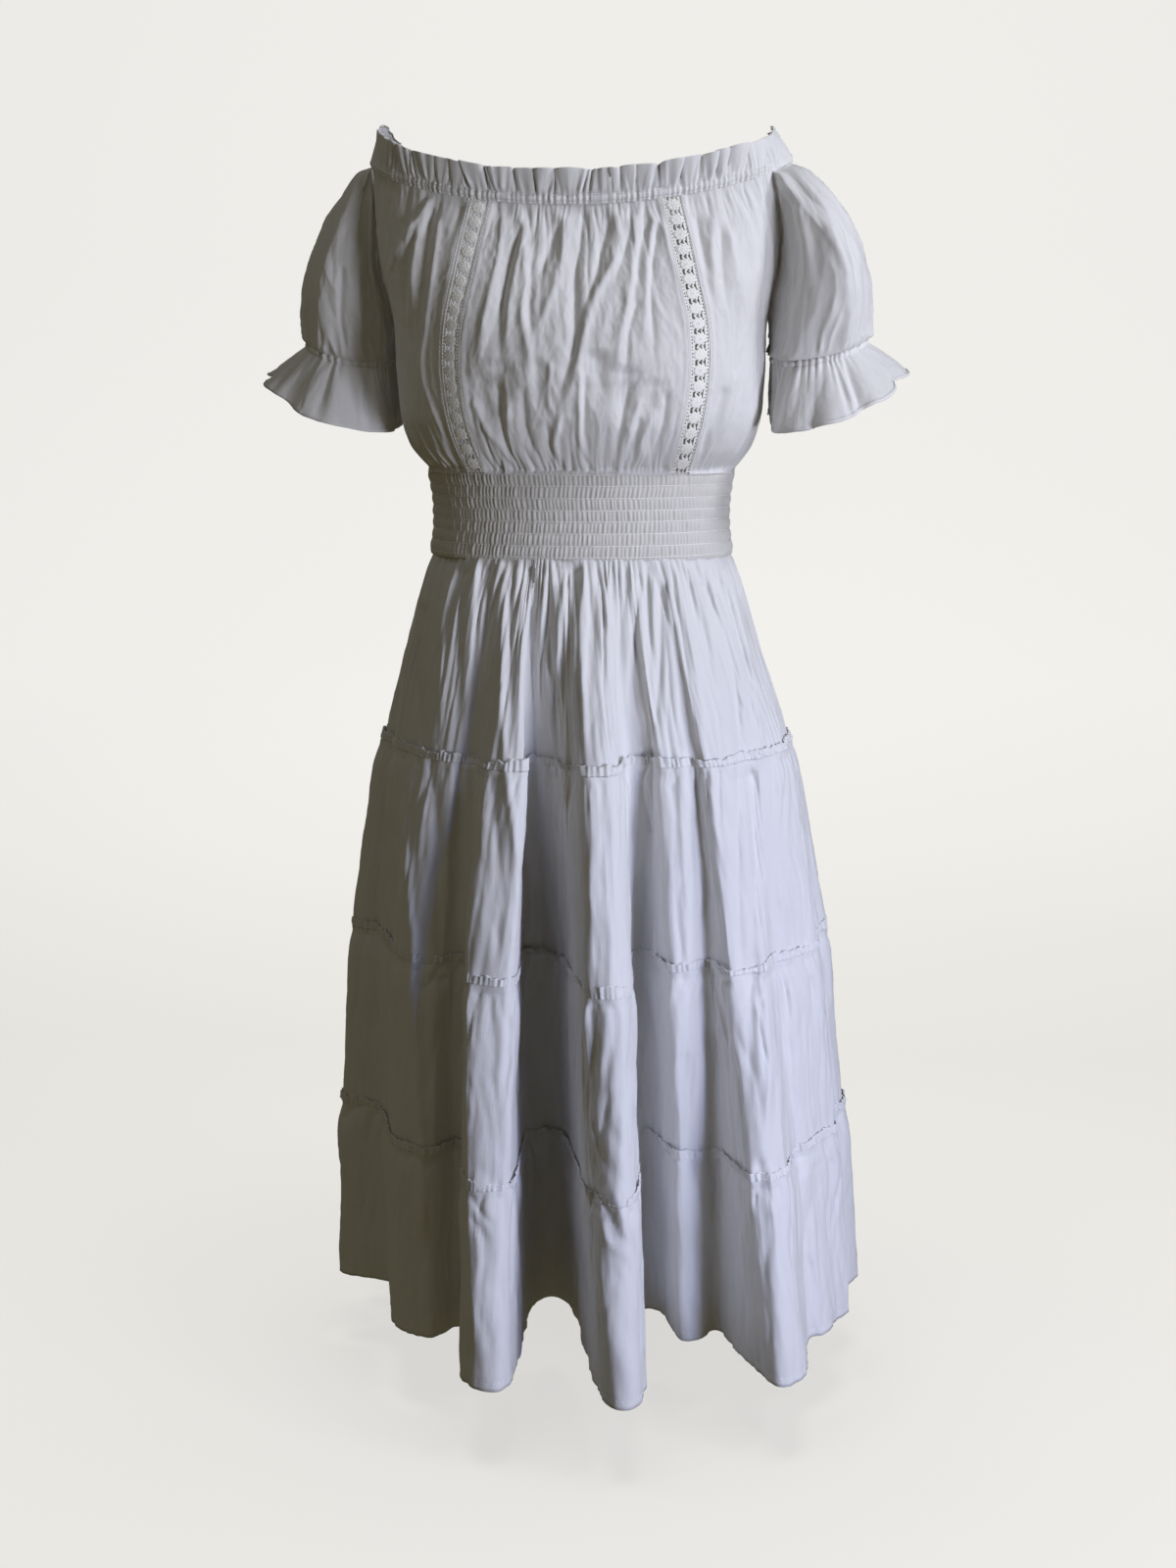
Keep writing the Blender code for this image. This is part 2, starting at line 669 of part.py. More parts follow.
def ways_out(ring):
    """The way out of the cloth at each column of a ring, and the room there is that way in a hollow."""
    edge = np.roll(ring, -1, axis=0) - ring
    length = np.linalg.norm(edge, axis=1)
    after = edge / length[:, None]
    before = np.roll(after, 1, axis=0)
    along = before + after
    along /= np.linalg.norm(along, axis=1)[:, None]
    out = np.stack([along[:, 1], -along[:, 0]], axis=-1)
    bend = before[:, 0] * after[:, 1] - before[:, 1] * after[:, 0]
    half_bend = np.sqrt((1 + np.clip((before * after).sum(axis=1), -0.5, 1)) / 2)
    spacing = (length + np.roll(length, 1)) / 2
    room = np.where(bend < 0, 0.35 * spacing / np.maximum(-bend, 1e-6), 1.0)
    return out / half_bend[:, None], np.minimum(room, np.minimum(np.roll(room, 1), np.roll(room, -1)))


def moved_out(ring, distance, least=0.0):
    """A ring moved out of the cloth, less where a hollow leaves no room."""
    out, room = ways_out(ring)
    return ring + out * np.maximum(np.minimum(distance, room), least)[:, None]


def skirt_ring(height):
    """x and y of the skirt's columns at a height."""
    return smooth_ring(fold_corners(height), per_corner=(2, 2, 1, 1))


def tier_points(tier):
    """Rows of one tier from its lower edge up, with its gathers fading downwards."""
    rows = []
    for share in reversed(TIER_ROWS[tier]):
        top = SEAM_LEVELS[tier]
        height = top + share * (SEAM_LEVELS[tier + 1] - top)
        ring = skirt_ring(height)
        turn = np.arctan2(ring[:, 0], -ring[:, 1])
        upper = seam_height(turn, tier) - ANGLED_SEAM_GAP
        lower = seam_height(turn, tier + 1)
        drop = (top - height) / TIER_PUFF_DROP
        puff = TIER_PUFF * drop * math.exp(1 - drop)
        ripple = TIER_GATHER * math.exp((height - top) / TIER_GATHER_FADE) * (1 if tier else 0.6)
        wave = ripple * np.cos(math.pi * np.arange(len(ring)))
        moved = moved_out(ring, puff + wave)
        rows.append(points_of(moved[:, 0], moved[:, 1], upper + share * (lower - upper)))
    return np.array(rows)


def seam_frill_points(seam):
    """Two rows of the narrow gathered heading over a tier seam, made from the tier above moved out."""
    low, high = tier_points(seam - 1)[:2]
    columns = np.arange(len(low))
    rows = []
    for rise, away, waved in ((0.0, FRILL_FOOT_OUT, 0.15), (FRILL_HEIGHT, FRILL_TOP_OUT, 1.0)):
        uneven = rise * (1 + FRILL_UNEVEN * np.sin(2.3 * columns))
        share = (uneven / (high[:, 2] - low[:, 2]))[:, None]
        on_tier = low * (1 - share) + high * share
        wave = FRILL_WAVE * waved * np.sin(2 * math.pi * columns / COLUMNS_PER_FRILL_WAVE)
        moved = moved_out(on_tier[:, :2], away + wave, least=FRILL_FOOT_OUT)
        rows.append(points_of(moved[:, 0], moved[:, 1], on_tier[:, 2]))
    return np.array(rows)


def front_and_back(points):
    """A closed skirt ring cut at its two side seams, a seam gap wide."""
    turn = np.degrees(np.arctan2(points[0, :, 0], -points[0, :, 1])) % 360
    columns = points.shape[1]
    left = int(np.argmin(np.abs(turn - 90)))
    right = int(np.argmin(np.abs(turn - 270)))
    front = np.arange(right - columns, left + 1)
    back = np.arange(left, right + 1)
    halves = []
    for chosen in (front, back):
        half = points[:, chosen].copy()
        for edge, beside in ((0, 1), (-1, -2)):
            way = half[:, beside] - half[:, edge]
            way /= np.linalg.norm(way, axis=-1, keepdims=True)
            half[:, edge] += way * SEAM_GAP
        halves.append(half)
    return halves


def build_skirt(material, collection):
    rings = [(f"tier_{tier + 1}", tier_points(tier)) for tier in range(4)]
    rings += [(f"seam_frill_{seam}", seam_frill_points(seam)) for seam in (1, 2, 3)]
    for name, points in rings:
        front, back = front_and_back(points)
        cloth_wall(name + "_front", front, material, collection)
        cloth_wall(name + "_back", back, material, collection)


def main():
    clear_scene()
    dress = bpy.data.collections.new("peasant_dress")
    bpy.context.scene.collection.children.link(dress)
    cotton = cloth_material("plain_cotton", PLAIN_COTTON)
    lace = cloth_material("lace_cotton", LACE_COTTON)
    smocked = cloth_material("smocked_cotton", SMOCKED_COTTON)
    build_bodice(cotton, dress)
    build_lace(lace, dress)
    build_neck_casing(cotton, dress)
    build_neck_ruffle(cotton, dress)
    build_sleeves(cotton, dress)
    smocked_half("waist_front", 0.0, smocked, dress)
    smocked_half("waist_back", math.pi, smocked, dress)
    build_skirt(cotton, dress)


main()
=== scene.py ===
"""The worn off-shoulder peasant dress of thin white cotton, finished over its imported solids.

Metres, +Z up, the front faces -Y and +X is the wearer's left. The origin is the middle of the
smocked waist. Each piece of cloth is a thin shell on its solid's form, with its gathers, creases,
smocking, lace and stitching.
"""

import math

import bpy
import numpy as np
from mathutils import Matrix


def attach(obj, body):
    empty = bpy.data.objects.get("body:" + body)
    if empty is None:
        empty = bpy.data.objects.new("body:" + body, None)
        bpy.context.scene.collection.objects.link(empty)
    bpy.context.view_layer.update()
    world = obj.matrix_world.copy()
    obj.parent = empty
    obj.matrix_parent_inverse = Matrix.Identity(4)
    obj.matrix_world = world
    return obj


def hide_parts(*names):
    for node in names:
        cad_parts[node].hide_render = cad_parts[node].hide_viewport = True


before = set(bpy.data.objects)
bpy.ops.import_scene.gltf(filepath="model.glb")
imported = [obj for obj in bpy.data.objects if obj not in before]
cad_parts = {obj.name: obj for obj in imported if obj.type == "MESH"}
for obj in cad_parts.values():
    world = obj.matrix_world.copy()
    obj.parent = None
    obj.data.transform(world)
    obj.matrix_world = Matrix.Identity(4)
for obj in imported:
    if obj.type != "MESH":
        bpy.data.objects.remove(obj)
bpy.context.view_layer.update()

# Sizes of the cut, the same as in the solids

SEAM_GAP = 0.0004
ANGLED_SEAM_GAP = 0.0009

BODICE_BOTTOM = 0.0376
BODICE_TOP = 0.295
UNDERARM = 0.165
NECK_FRONT = 0.257
NECK_SIDE = 0.298
NECK_BACK = 0.264
NECK_CURVE = 2.4
RAGLAN_TURN = math.radians(68)
NECK_TWIST = math.radians(8)
RAGLAN_CURVE = 0.8
LEVELS_ABOVE_UNDERARM = (0.61, 0.72, 0.83, 0.93)

CASING_HEIGHT = 0.008
RUFFLE_FRONT = 0.0225
RUFFLE_SIDE = 0.031
RUFFLE_FLARE_FRONT = 0.003
RUFFLE_LEAN_SIDE = -0.004
RUFFLE_LOWER_LEFT = 0.0045
RUFFLE_LEAN_LEFT = 0.006

LACE_HALF = 0.0115
LACE_SHIFT = 0.004
LACE_SHOWN = 0.64
LACE_ROSETTES = 18
LACE_ROSETTE_PITCH = 13.2  # millimetres, along the cloth

WAIST_HALF_HEIGHT = 0.037
STITCH_ROWS = 8
STITCH_PITCH = 0.0100
PUCKER_WIDTH = 0.0036
PUCKER_RISE = 0.0013

SLEEVE_COLUMNS_AT_NECK = 18
PUFF_OUT = 0.028
PUFF_STEEP_AT_NECK = 0.62
PUFF_STEEP_AT_CUFF = 0.9
SLEEVE_HEAD_OUT = 0.8
CUFF_CENTRE = 0.2065
CUFF_HEIGHT = 0.139
CUFF_TILT_OUT = 0.008
CUFF_TILT_FRONT = 0.010
CUFF_HALF_WIDTH = 0.041
CUFF_HALF_DEPTH = 0.046
CUFF_CASING = 0.006
FRILL_DROP_IN = 0.055
FRILL_DROP_FRONT = 0.056
FRILL_FLARE_FRONT = 0.024
FRILL_FLARE_OUT = 0.034
FRILL_CORNER = 0.075  # share of the way round that the left frill's rounded inner corner takes
FRILL_CORNER_RISE = 0.013

SEAM_LEVELS = (-0.0376, -0.203, -0.380, -0.552, -0.730)
SEAM_SAG = 0.006
TIER_PUFF = 0.0022
TIER_PUFF_DROP = 0.020
FOLD_SHARE_AT_SEAM_1 = 0.38
FOLD_FREE_SHARE = 0.35
FRILL_HEIGHT = 0.0115
FRILL_FOOT_OUT = 0.0012
FRILL_TOP_OUT = 0.0018
HEM_STITCH = 0.0065
DEEPEST_VALLEY = 0.0062

# The two sleeves: name, side, how far back the cuff hangs, front puff, drop of the frill's outer tip
SLEEVES = (
    ("left", 1, -0.004, 0.022, 0.024),
    ("right", -1, 0.024, 0.004, 0.026),
)

# Sections of the bodice: height, half width, front depth, back depth, squareness
BODICE_SECTIONS = (
    (0.037, 0.1360, 0.096, 0.093, 2.10),
    (0.055, 0.1490, 0.111, 0.101, 2.15),
    (0.075, 0.1560, 0.122, 0.107, 2.20),
    (0.115, 0.1600, 0.131, 0.113, 2.20),
    (0.165, 0.1620, 0.131, 0.118, 2.25),
    (0.215, 0.1730, 0.121, 0.119, 2.35),
    (0.255, 0.1770, 0.110, 0.117, 2.45),
    (0.295, 0.1790, 0.104, 0.114, 2.50),
)

# Sections of the smocked waist: height, half width, half depth
WAIST_SECTIONS = (
    (-0.037, 0.1330, 0.0940),
    (-0.010, 0.1295, 0.0920),
    (0.010, 0.1300, 0.0920),
    (0.037, 0.1340, 0.0940),
)

# Sections of the skirt before its folds: height, half width, front depth, back depth, shift to the left
SKIRT_SECTIONS = (
    (-0.730, 0.2410, 0.160, 0.165, 0.0135),
    (-0.552, 0.2310, 0.155, 0.158, 0.0090),
    (-0.380, 0.2150, 0.148, 0.150, 0.0055),
    (-0.203, 0.1850, 0.138, 0.138, 0.0040),
    (-0.090, 0.1510, 0.116, 0.116, 0.0000),
    (-0.037, 0.1340, 0.097, 0.096, 0.0000),
)

# Mesh steps of each tier: across the front, across the back, down
TIER_STEPS = (
    (0.0019, 0.0036, 0.0030),
    (0.0022, 0.0042, 0.0034),
    (0.0024, 0.0048, 0.0036),
    (0.0025, 0.0050, 0.0036),
)

# Gathers of each tier: fine spacing and depth, long spacing and depth, reach of the long ones, and the
# share of their depth that they keep to the tier's foot
TIER_GATHERS = (
    (0.0052, 0.0018, 0.0120, 0.0042, 0.110, 0.30),
    (0.0058, 0.0017, 0.0230, 0.0032, 0.060, 0.35),
    (0.0060, 0.0018, 0.0250, 0.0034, 0.060, 0.38),
    (0.0062, 0.0018, 0.0260, 0.0036, 0.065, 0.40),
)

# Where the lace lies: height, distance of its middle line from the centre front
LACE_PATH = (
    (0.037, 0.0870),
    (0.087, 0.1000),
    (0.119, 0.1035),
    (0.150, 0.1020),
    (0.189, 0.0940),
    (0.228, 0.0855),
    (0.260, 0.0775),
)

# Folds of the skirt, round from the centre front towards the wearer's left: crest turn, crest reach at
# the hem, crest lean, crest half width, trough turn, trough reach at the hem, trough half width, share
# of the reach at the second seam. Turns and widths are in degrees.
SKIRT_FOLDS = (
    (6.5, 0.073, 0.009, 4.4, 18.2, -0.080, 2.6, 0.70),
    (25.6, -0.028, 0.000, 2.4, 32.0, -0.030, 1.9, 0.30),
    (40.4, 0.070, -0.010, 4.4, 54.5, 0.016, 2.6, 0.32),
    (70.0, 0.008, 0.000, 4.5, 84.0, -0.008, 3.0, 0.50),
    (104.0, 0.014, 0.000, 5.0, 114.0, -0.022, 2.5, 0.60),
    (126.0, 0.036, 0.004, 5.0, 137.0, -0.034, 2.5, 0.55),
    (149.0, 0.046, -0.004, 5.0, 160.0, -0.044, 2.5, 0.60),
    (171.0, 0.040, 0.005, 5.0, 182.0, -0.030, 3.0, 0.50),
    (194.0, 0.050, 0.000, 4.5, 206.0, -0.048, 2.5, 0.65),
    (218.0, 0.038, -0.005, 5.0, 230.0, -0.030, 2.5, 0.55),
    (243.0, 0.024, 0.004, 4.5, 254.0, -0.022, 2.5, 0.60),
    (268.0, 0.004, 0.000, 5.0, 287.0, -0.040, 3.0, 0.50),
    (320.0, 0.003, 0.000, 5.5, 330.5, -0.026, 2.2, 0.60),
    (344.0, 0.061, 0.000, 5.2, 349.0, -0.094, 4.2, 0.55),
)

# Gathers, creases and wrinkles


def eased(x):
    """0 below 0, 1 above 1, and a soft rise between."""
    x = np.clip(x, 0, 1)
    return x * x * (3 - 2 * x)


def fade(distance, reach):
    """1 at a seam, dying out over the given reach."""
    return np.exp(-np.maximum(distance, 0) / reach)


def wrinkle(seed, place, drop, cell_across, cell_down, around=None):
    """Smooth uneven waves over the cloth, about 1 either way, on cells of the given size.

    On a closed ring of the given length round, they meet themselves.
    """
    chance = np.random.default_rng(seed)
    across, down = np.broadcast_arrays(place, drop)
    if around:
        count = max(3, round(around / cell_across))
        across = across * count / around
    else:
        across = (across - across.min()) / cell_across
        count = int(across.max()) + 3
    down = (down - down.min()) / cell_down
    ways = chance.uniform(0, 2 * math.pi, (int(down.max()) + 2, count))
    column = np.floor(across).astype(int)
    row = down.astype(int)
    sideways = across - column
    fall = down - row

    def corner(right, low):
        way = ways[row + low, (column + right) % count]
        return np.cos(way) * (sideways - right) + np.sin(way) * (fall - low)

    u = eased(sideways)
    v = eased(fall)
    upper = corner(0, 0) * (1 - u) + corner(1, 0) * u
    lower = corner(0, 1) * (1 - u) + corner(1, 1) * u
    return 1.6 * (upper * (1 - v) + lower * v)


def drawn_up(seed, place, drop, across, down, around=None):
    """Wrinkles drawn down the cloth from its gathers: 0 on their round ridges, -1 in their sharp valleys.

    They wander, merge and end, and no two are alike. Valleys lie about the given distance apart.
    """
    sway = 0.8 * across * wrinkle(seed, place, drop, 4 * across, 0.8 * down, around)
    field = np.abs(wrinkle(seed + 1, place + sway, drop, across, down, around))
    return np.minimum(field * 1.7, 1.0) ** 0.75 - 1


def crumple(seed, place, drop, depth, size, around=None):
    """Fine creases of worn cotton, mostly running down the cloth: two sizes of folded wave."""
    large = np.abs(wrinkle(seed, place, drop, size, 2.4 * size, around))
    small = np.abs(wrinkle(seed + 1, place, drop, 0.45 * size, 0.9 * size, around))
    return depth * (0.65 * (1 - 2 * large) + 0.35 * (1 - 2 * small))


def laid_folds(points, rows):
    """Main folds, given one by one: depth, with a minus for a valley, half width, then x and z down the fold.

    All in millimetres. A fold fades out past both ends, and a valley is sharper than a ridge. A pair of
    half widths gives a fold that is steeper on one side: towards the left, towards the right.
    """
    x = points[..., 0] * 1000
    z = points[..., 2] * 1000
    relief = np.zeros(x.shape)
    for depth, half, *line in rows:
        line = list(zip(line[::2], line[1::2]))
        (first, high), (last, low) = line[0], line[-1]
        middle = read_table([(height, across) for across, height in line], z)[0]
        slope = (last - first) / (high - low)
        left, right = half if isinstance(half, tuple) else (half, half)
        near = np.abs(x - middle) / np.where(x < middle, left, right) / math.hypot(1, slope)
        strength = eased((high + 7 - z) / 10) * eased((z - low + 8) / (8 + min(0.4 * (high - low), 45)))
        relief += depth / 1000 * strength * np.exp(-(near ** (1.5 if depth < 0 else 2.0)))
    return relief


# Grids of points


def normals_of(points, closed=False):
    """The way out of the cloth at each point of a grid."""
    if closed:
        across = np.roll(points, -1, axis=1) - np.roll(points, 1, axis=1)
    else:
        across = np.gradient(points, axis=1)
    normal = np.cross(across, np.gradient(points, axis=0))
    return normal / np.maximum(np.linalg.norm(normal, axis=-1, keepdims=True), 1e-12)


def raised(points, relief, closed=False):
    return points + normals_of(points, closed) * relief[..., None]


def untangled(points, form, reach=4):
    """A closed ring of cloth with the places smoothed out where a fold had turned it back on itself."""
    for _ in range(3):
        base = np.roll(form, -1, axis=1) - form
        step = np.roll(points, -1, axis=1) - points
        turned = (step * base).sum(axis=-1) < 0.12 * (base * base).sum(axis=-1)
        near = sum(np.roll(turned, shift, axis=1) for shift in range(-reach, reach + 1)) > 0
        share = (near + np.roll(near, 1, axis=1) + np.roll(near, -1, axis=1))[..., None] / 3
        moved = points - form
        calm = sum(np.roll(moved, shift, axis=1) for shift in range(-reach, reach + 1)) / (2 * reach + 1)
        points = form + moved * (1 - share) + calm * share
    return points


def lengths_along(points, axis):
    """Distance along a grid's rows or columns from their start, averaged over the other way."""
    step = np.linalg.norm(np.diff(points, axis=axis), axis=-1).mean(axis=1 - axis)
    return np.concatenate([[0], np.cumsum(step)])


# Materials


def linear(colour):
    """An sRGB hex colour as linear red, green, blue and alpha."""
    values = []
    for start in (1, 3, 5):
        share = int(colour[start : start + 2], 16) / 255
        values.append(share / 12.92 if share <= 0.04045 else ((share + 0.055) / 1.055) ** 2.4)
    return (*values, 1.0)


def add_node(tree, kind, settings=(), links=()):
    """A node with its settings, by property or input name, and its links, from an output to an input name."""
    node = tree.nodes.new(kind)
    for name, value in dict(settings).items():
        if hasattr(node, name):
            setattr(node, name, value)
        else:
            node.inputs[name].default_value = value
    for output, name in links:
        tree.links.new(output, node.inputs[name])
    return node


def cotton_lawn(name, light, dark, crinkle):
    """Plain-woven cotton lawn, washed and worn: matt, with a little fibre sheen at grazing angles.

    The eye sees soft crinkles a few millimetres wide and a trace of the weave, never a shine. Threads lie
    about 0.3 mm apart, too fine to show, so they are drawn at 0.9 mm.
    """
    material = bpy.data.materials.new(name)
    material.use_nodes = True
    tree = material.node_tree
    shader = tree.nodes["Principled BSDF"]
    shader.inputs["Roughness"].default_value = 0.88
    shader.inputs["IOR"].default_value = 1.45
    shader.inputs["Specular IOR Level"].default_value = 0.25
    shader.inputs["Sheen Weight"].default_value = 0.22
    shader.inputs["Sheen Roughness"].default_value = 0.45
    uv = add_node(tree, "ShaderNodeUVMap", {"uv_map": "cloth"})
    place = add_node(tree, "ShaderNodeMapping", {"Scale": (1.0, 0.35, 1.0)}, [(uv.outputs["UV"], "Vector")])
    cloud = add_node(tree, "ShaderNodeTexNoise", {"Scale": 14.0, "Detail": 4.0}, [(place.outputs["Vector"], "Vector")])
    tone = add_node(tree, "ShaderNodeMix", {"data_type": "RGBA"}, [(cloud.outputs["Fac"], "Factor")])
    tone.inputs[6].default_value = linear(dark)
    tone.inputs[7].default_value = linear(light)
    tree.links.new(tone.outputs[2], shader.inputs["Base Color"])
    crease = add_node(
        tree, "ShaderNodeTexNoise", {"Scale": 190.0, "Detail": 5.0, "Roughness": 0.6}, [(place.outputs["Vector"], "Vector")]
    )
    weave = add_node(tree, "ShaderNodeTexWave", {"Scale": 180.0, "bands_direction": "X"}, [(uv.outputs["UV"], "Vector")])
    weft = add_node(tree, "ShaderNodeTexWave", {"Scale": 180.0, "bands_direction": "Y"}, [(uv.outputs["UV"], "Vector")])
    woven = add_node(
        tree, "ShaderNodeMath", {"operation": "MULTIPLY"}, [(weave.outputs["Fac"], 0), (weft.outputs["Fac"], 1)]
    )
    soft = add_node(
        tree, "ShaderNodeBump", {"Strength": crinkle, "Distance": 0.0012}, [(crease.outputs["Fac"], "Height")]
    )
    cloth = add_node(
        tree,
        "ShaderNodeBump",
        {"Strength": 0.18, "Distance": 0.00025},
        [(woven.outputs["Value"], "Height"), (soft.outputs["Normal"], "Normal")],
    )
    tree.links.new(cloth.outputs["Normal"], shader.inputs["Normal"])
    return material


def plain_finish(name, colour, roughness):
    material = bpy.data.materials.new(name)
    material.use_nodes = True
    shader = material.node_tree.nodes["Principled BSDF"]
    shader.inputs["Base Color"].default_value = linear(colour)
    shader.inputs["Roughness"].default_value = roughness
    return material


# Making the pieces


def grid_quads(rows, columns, closed):
    row, column = np.meshgrid(np.arange(rows - 1), np.arange(columns if closed else columns - 1), indexing="ij")
    after = (column + 1) % columns
    low = row * columns
    high = low + columns
    return np.stack([low + column, low + after, high + after, high + column], axis=-1)


def new_mesh(name, points, quads, material, cloth=None):
    """A smooth mesh from points and four-cornered faces, with cloth places in metres as its UVs."""
    points = np.ascontiguousarray(points.reshape(-1, 3), np.float32)
    quads = np.ascontiguousarray(quads.reshape(-1, 4), np.int32)
    used = np.zeros(len(points), bool)
    used[quads] = True
    renumbered = np.cumsum(used) - 1
    points = points[used]
    corners = renumbered[quads].astype(np.int32)
    mesh = bpy.data.meshes.new(name)
    mesh.vertices.add(len(points))
    mesh.vertices.foreach_set("co", points.ravel())
    mesh.loops.add(corners.size)
    mesh.loops.foreach_set("vertex_index", corners.ravel())
    mesh.polygons.add(len(corners))
    mesh.polygons.foreach_set("loop_start", np.arange(0, corners.size, 4, dtype=np.int32))
    mesh.polygons.foreach_set("loop_total", np.full(len(corners), 4, np.int32))
    if cloth is not None:
        layer = mesh.uv_layers.new(name="cloth")
        layer.data.foreach_set("uv", cloth.reshape(-1, 2)[used][corners.ravel()].astype(np.float32).ravel())
    mesh.update(calc_edges=True)
    mesh.validate()
    mesh.shade_smooth()
    mesh.materials.append(material)
    obj = bpy.data.objects.new(name, mesh)
    bpy.context.scene.collection.objects.link(obj)
    return obj


def cloth_piece(node, points, material, closed=False, mask=None):
    """A piece of cloth from a grid of points, riding on the body in the place of its solid."""
    rows, columns = points.shape[:2]
    quads = grid_quads(rows, columns, closed)
    if mask is not None:
        quads = quads[mask]
    up = lengths_along(points, 0)
    along = lengths_along(points, 1)
    cloth = np.stack(np.broadcast_arrays(along[None, :], up[:, None]), axis=-1)
    piece = new_mesh(node + "_cloth", points, quads, material, cloth)
    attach(piece, "root")
    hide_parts(node)
    return piece


def thread_piece(name, runs, material, stitch=0.0026, gap=0.0012, thick=0.00055, lift=0.0004):
    """Rows of machine stitches as one mesh: short raised dashes along each run of points and ways out."""
    points = []
    quads = []
    for line, out in runs:
        steps = np.linalg.norm(np.diff(line, axis=0), axis=1)
        length = np.concatenate([[0], np.cumsum(steps)])
        starts = np.arange(0.001, length[-1] - stitch, stitch + gap)
        for start in starts:
            ring = []
            for share, size in ((0.0, 0.35), (0.25, 1.0), (0.75, 1.0), (1.0, 0.35)):
                at = start + share * stitch
                middle = np.array([np.interp(at, length, line[:, axis]) for axis in range(3)])
                way = np.array([np.interp(at, length, out[:, axis]) for axis in range(3)])
                ahead = np.array([np.interp(at + 0.0005, length, line[:, axis]) for axis in range(3)]) - middle
                side = np.cross(way, ahead)
                side /= max(np.linalg.norm(side), 1e-12)
                centre = middle + way * lift
                half = thick / 2 * size
                ring.append([centre - side * half, centre + way * half, centre + side * half])
            first = len(points)
            points.extend(np.array(ring).reshape(-1, 3))
            for step in range(3):
                low = first + 3 * step
                quads.append((low, low + 1, low + 4, low + 3))
                quads.append((low + 1, low + 2, low + 5, low + 4))
    obj = new_mesh(name, np.array(points), np.array(quads), material)
    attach(obj, "root")
    return obj


# Form of the bodice and the neck


def read_table(table, height):
    """The columns after the first of a table at a height, by a smooth curve through its rows."""
    rows = np.array(sorted(table))
    keys = rows[:, 0]
    slopes = np.gradient(rows[:, 1:], keys, axis=0)
    height = np.clip(np.asarray(height, float), keys[0], keys[-1])
    index = np.clip(np.searchsorted(keys, height, side="right") - 1, 0, len(keys) - 2)
    span = keys[index + 1] - keys[index]
    t = ((height - keys[index]) / span)[..., None]
    span = span[..., None]
    start = (1 + 2 * t) * (1 - t) ** 2 * rows[index, 1:]
    end = t**2 * (3 - 2 * t) * rows[index + 1, 1:]
    rise = t * (1 - t) ** 2 * span * slopes[index]
    fall = t**2 * (t - 1) * span * slopes[index + 1]
    return np.moveaxis(start + end + rise + fall, -1, 0)


def points_of(x, y, z):
    return np.stack(np.broadcast_arrays(x, y, z), axis=-1)


def neckline(turn):
    """Height of the middle of the neck casing."""
    low = np.where(np.cos(turn) > 0, NECK_FRONT, NECK_BACK)
    return low + (NECK_SIDE - low) * np.abs(np.sin(turn)) ** NECK_CURVE


def bodice_outline(turn, level, out=0.0):
    """x and y on the bodice ring of a level, 0 at the waist and 1 at the neck, moved out if asked."""
    height = BODICE_BOTTOM + np.asarray(level) * (BODICE_TOP - BODICE_BOTTOM)
    width, front, back, square = read_table(BODICE_SECTIONS, height)
    depth = np.where(np.cos(turn) > 0, front, back)
    across = np.sin(turn)
    along = np.cos(turn)
    round_off = (np.abs(across) ** square + np.abs(along) ** square) ** (-1 / square)
    normal = np.hypot(across * depth, along * width)
    x = width * across * round_off + out * across * depth / normal
    y = -depth * along * round_off - out * along * width / normal
    return x, y


def bodice_point(turn, level, out=0.0):
    x, y = bodice_outline(turn, level, out)
    top = neckline(turn) - CASING_HEIGHT / 2 - SEAM_GAP
    return points_of(x, y, BODICE_BOTTOM + np.asarray(level) * (top - BODICE_BOTTOM))


UNDERARM_LEVEL = (UNDERARM - BODICE_BOTTOM) / (BODICE_TOP - BODICE_BOTTOM)


def climb_of(level):
    """How far up the raglan seams a level is, 0 at the underarm and 1 at the neck."""
    return np.clip((np.asarray(level) - UNDERARM_LEVEL) / (1 - UNDERARM_LEVEL), 0, 1)


def front_seam(level, side):
    """How far round from the centre front a side's seam lies: the side seam, then the raglan seam."""
    climb = climb_of(level)
    return math.pi / 2 - (math.pi / 2 - RAGLAN_TURN) * climb**RAGLAN_CURVE - side * NECK_TWIST * climb


def back_seam(level, side):
    climb = climb_of(level)
    return math.pi / 2 + (math.pi / 2 - RAGLAN_TURN) * climb**RAGLAN_CURVE - side * NECK_TWIST * climb


def lace_turn(level, across, side):
    """How far round from the centre the lace lies, across of -1 at its inner edge and 1 at its outer."""
    level = np.atleast_1d(level)
    height = BODICE_BOTTOM + level * (NECK_FRONT - BODICE_BOTTOM)
    wanted = read_table(LACE_PATH, height)[0] + across * LACE_HALF + side * LACE_SHIFT
    turns = np.linspace(0, math.pi / 2, 181)
    return np.array([np.interp(x, bodice_outline(turns, row)[0], turns) for row, x in zip(level, wanted)])


# Bodice


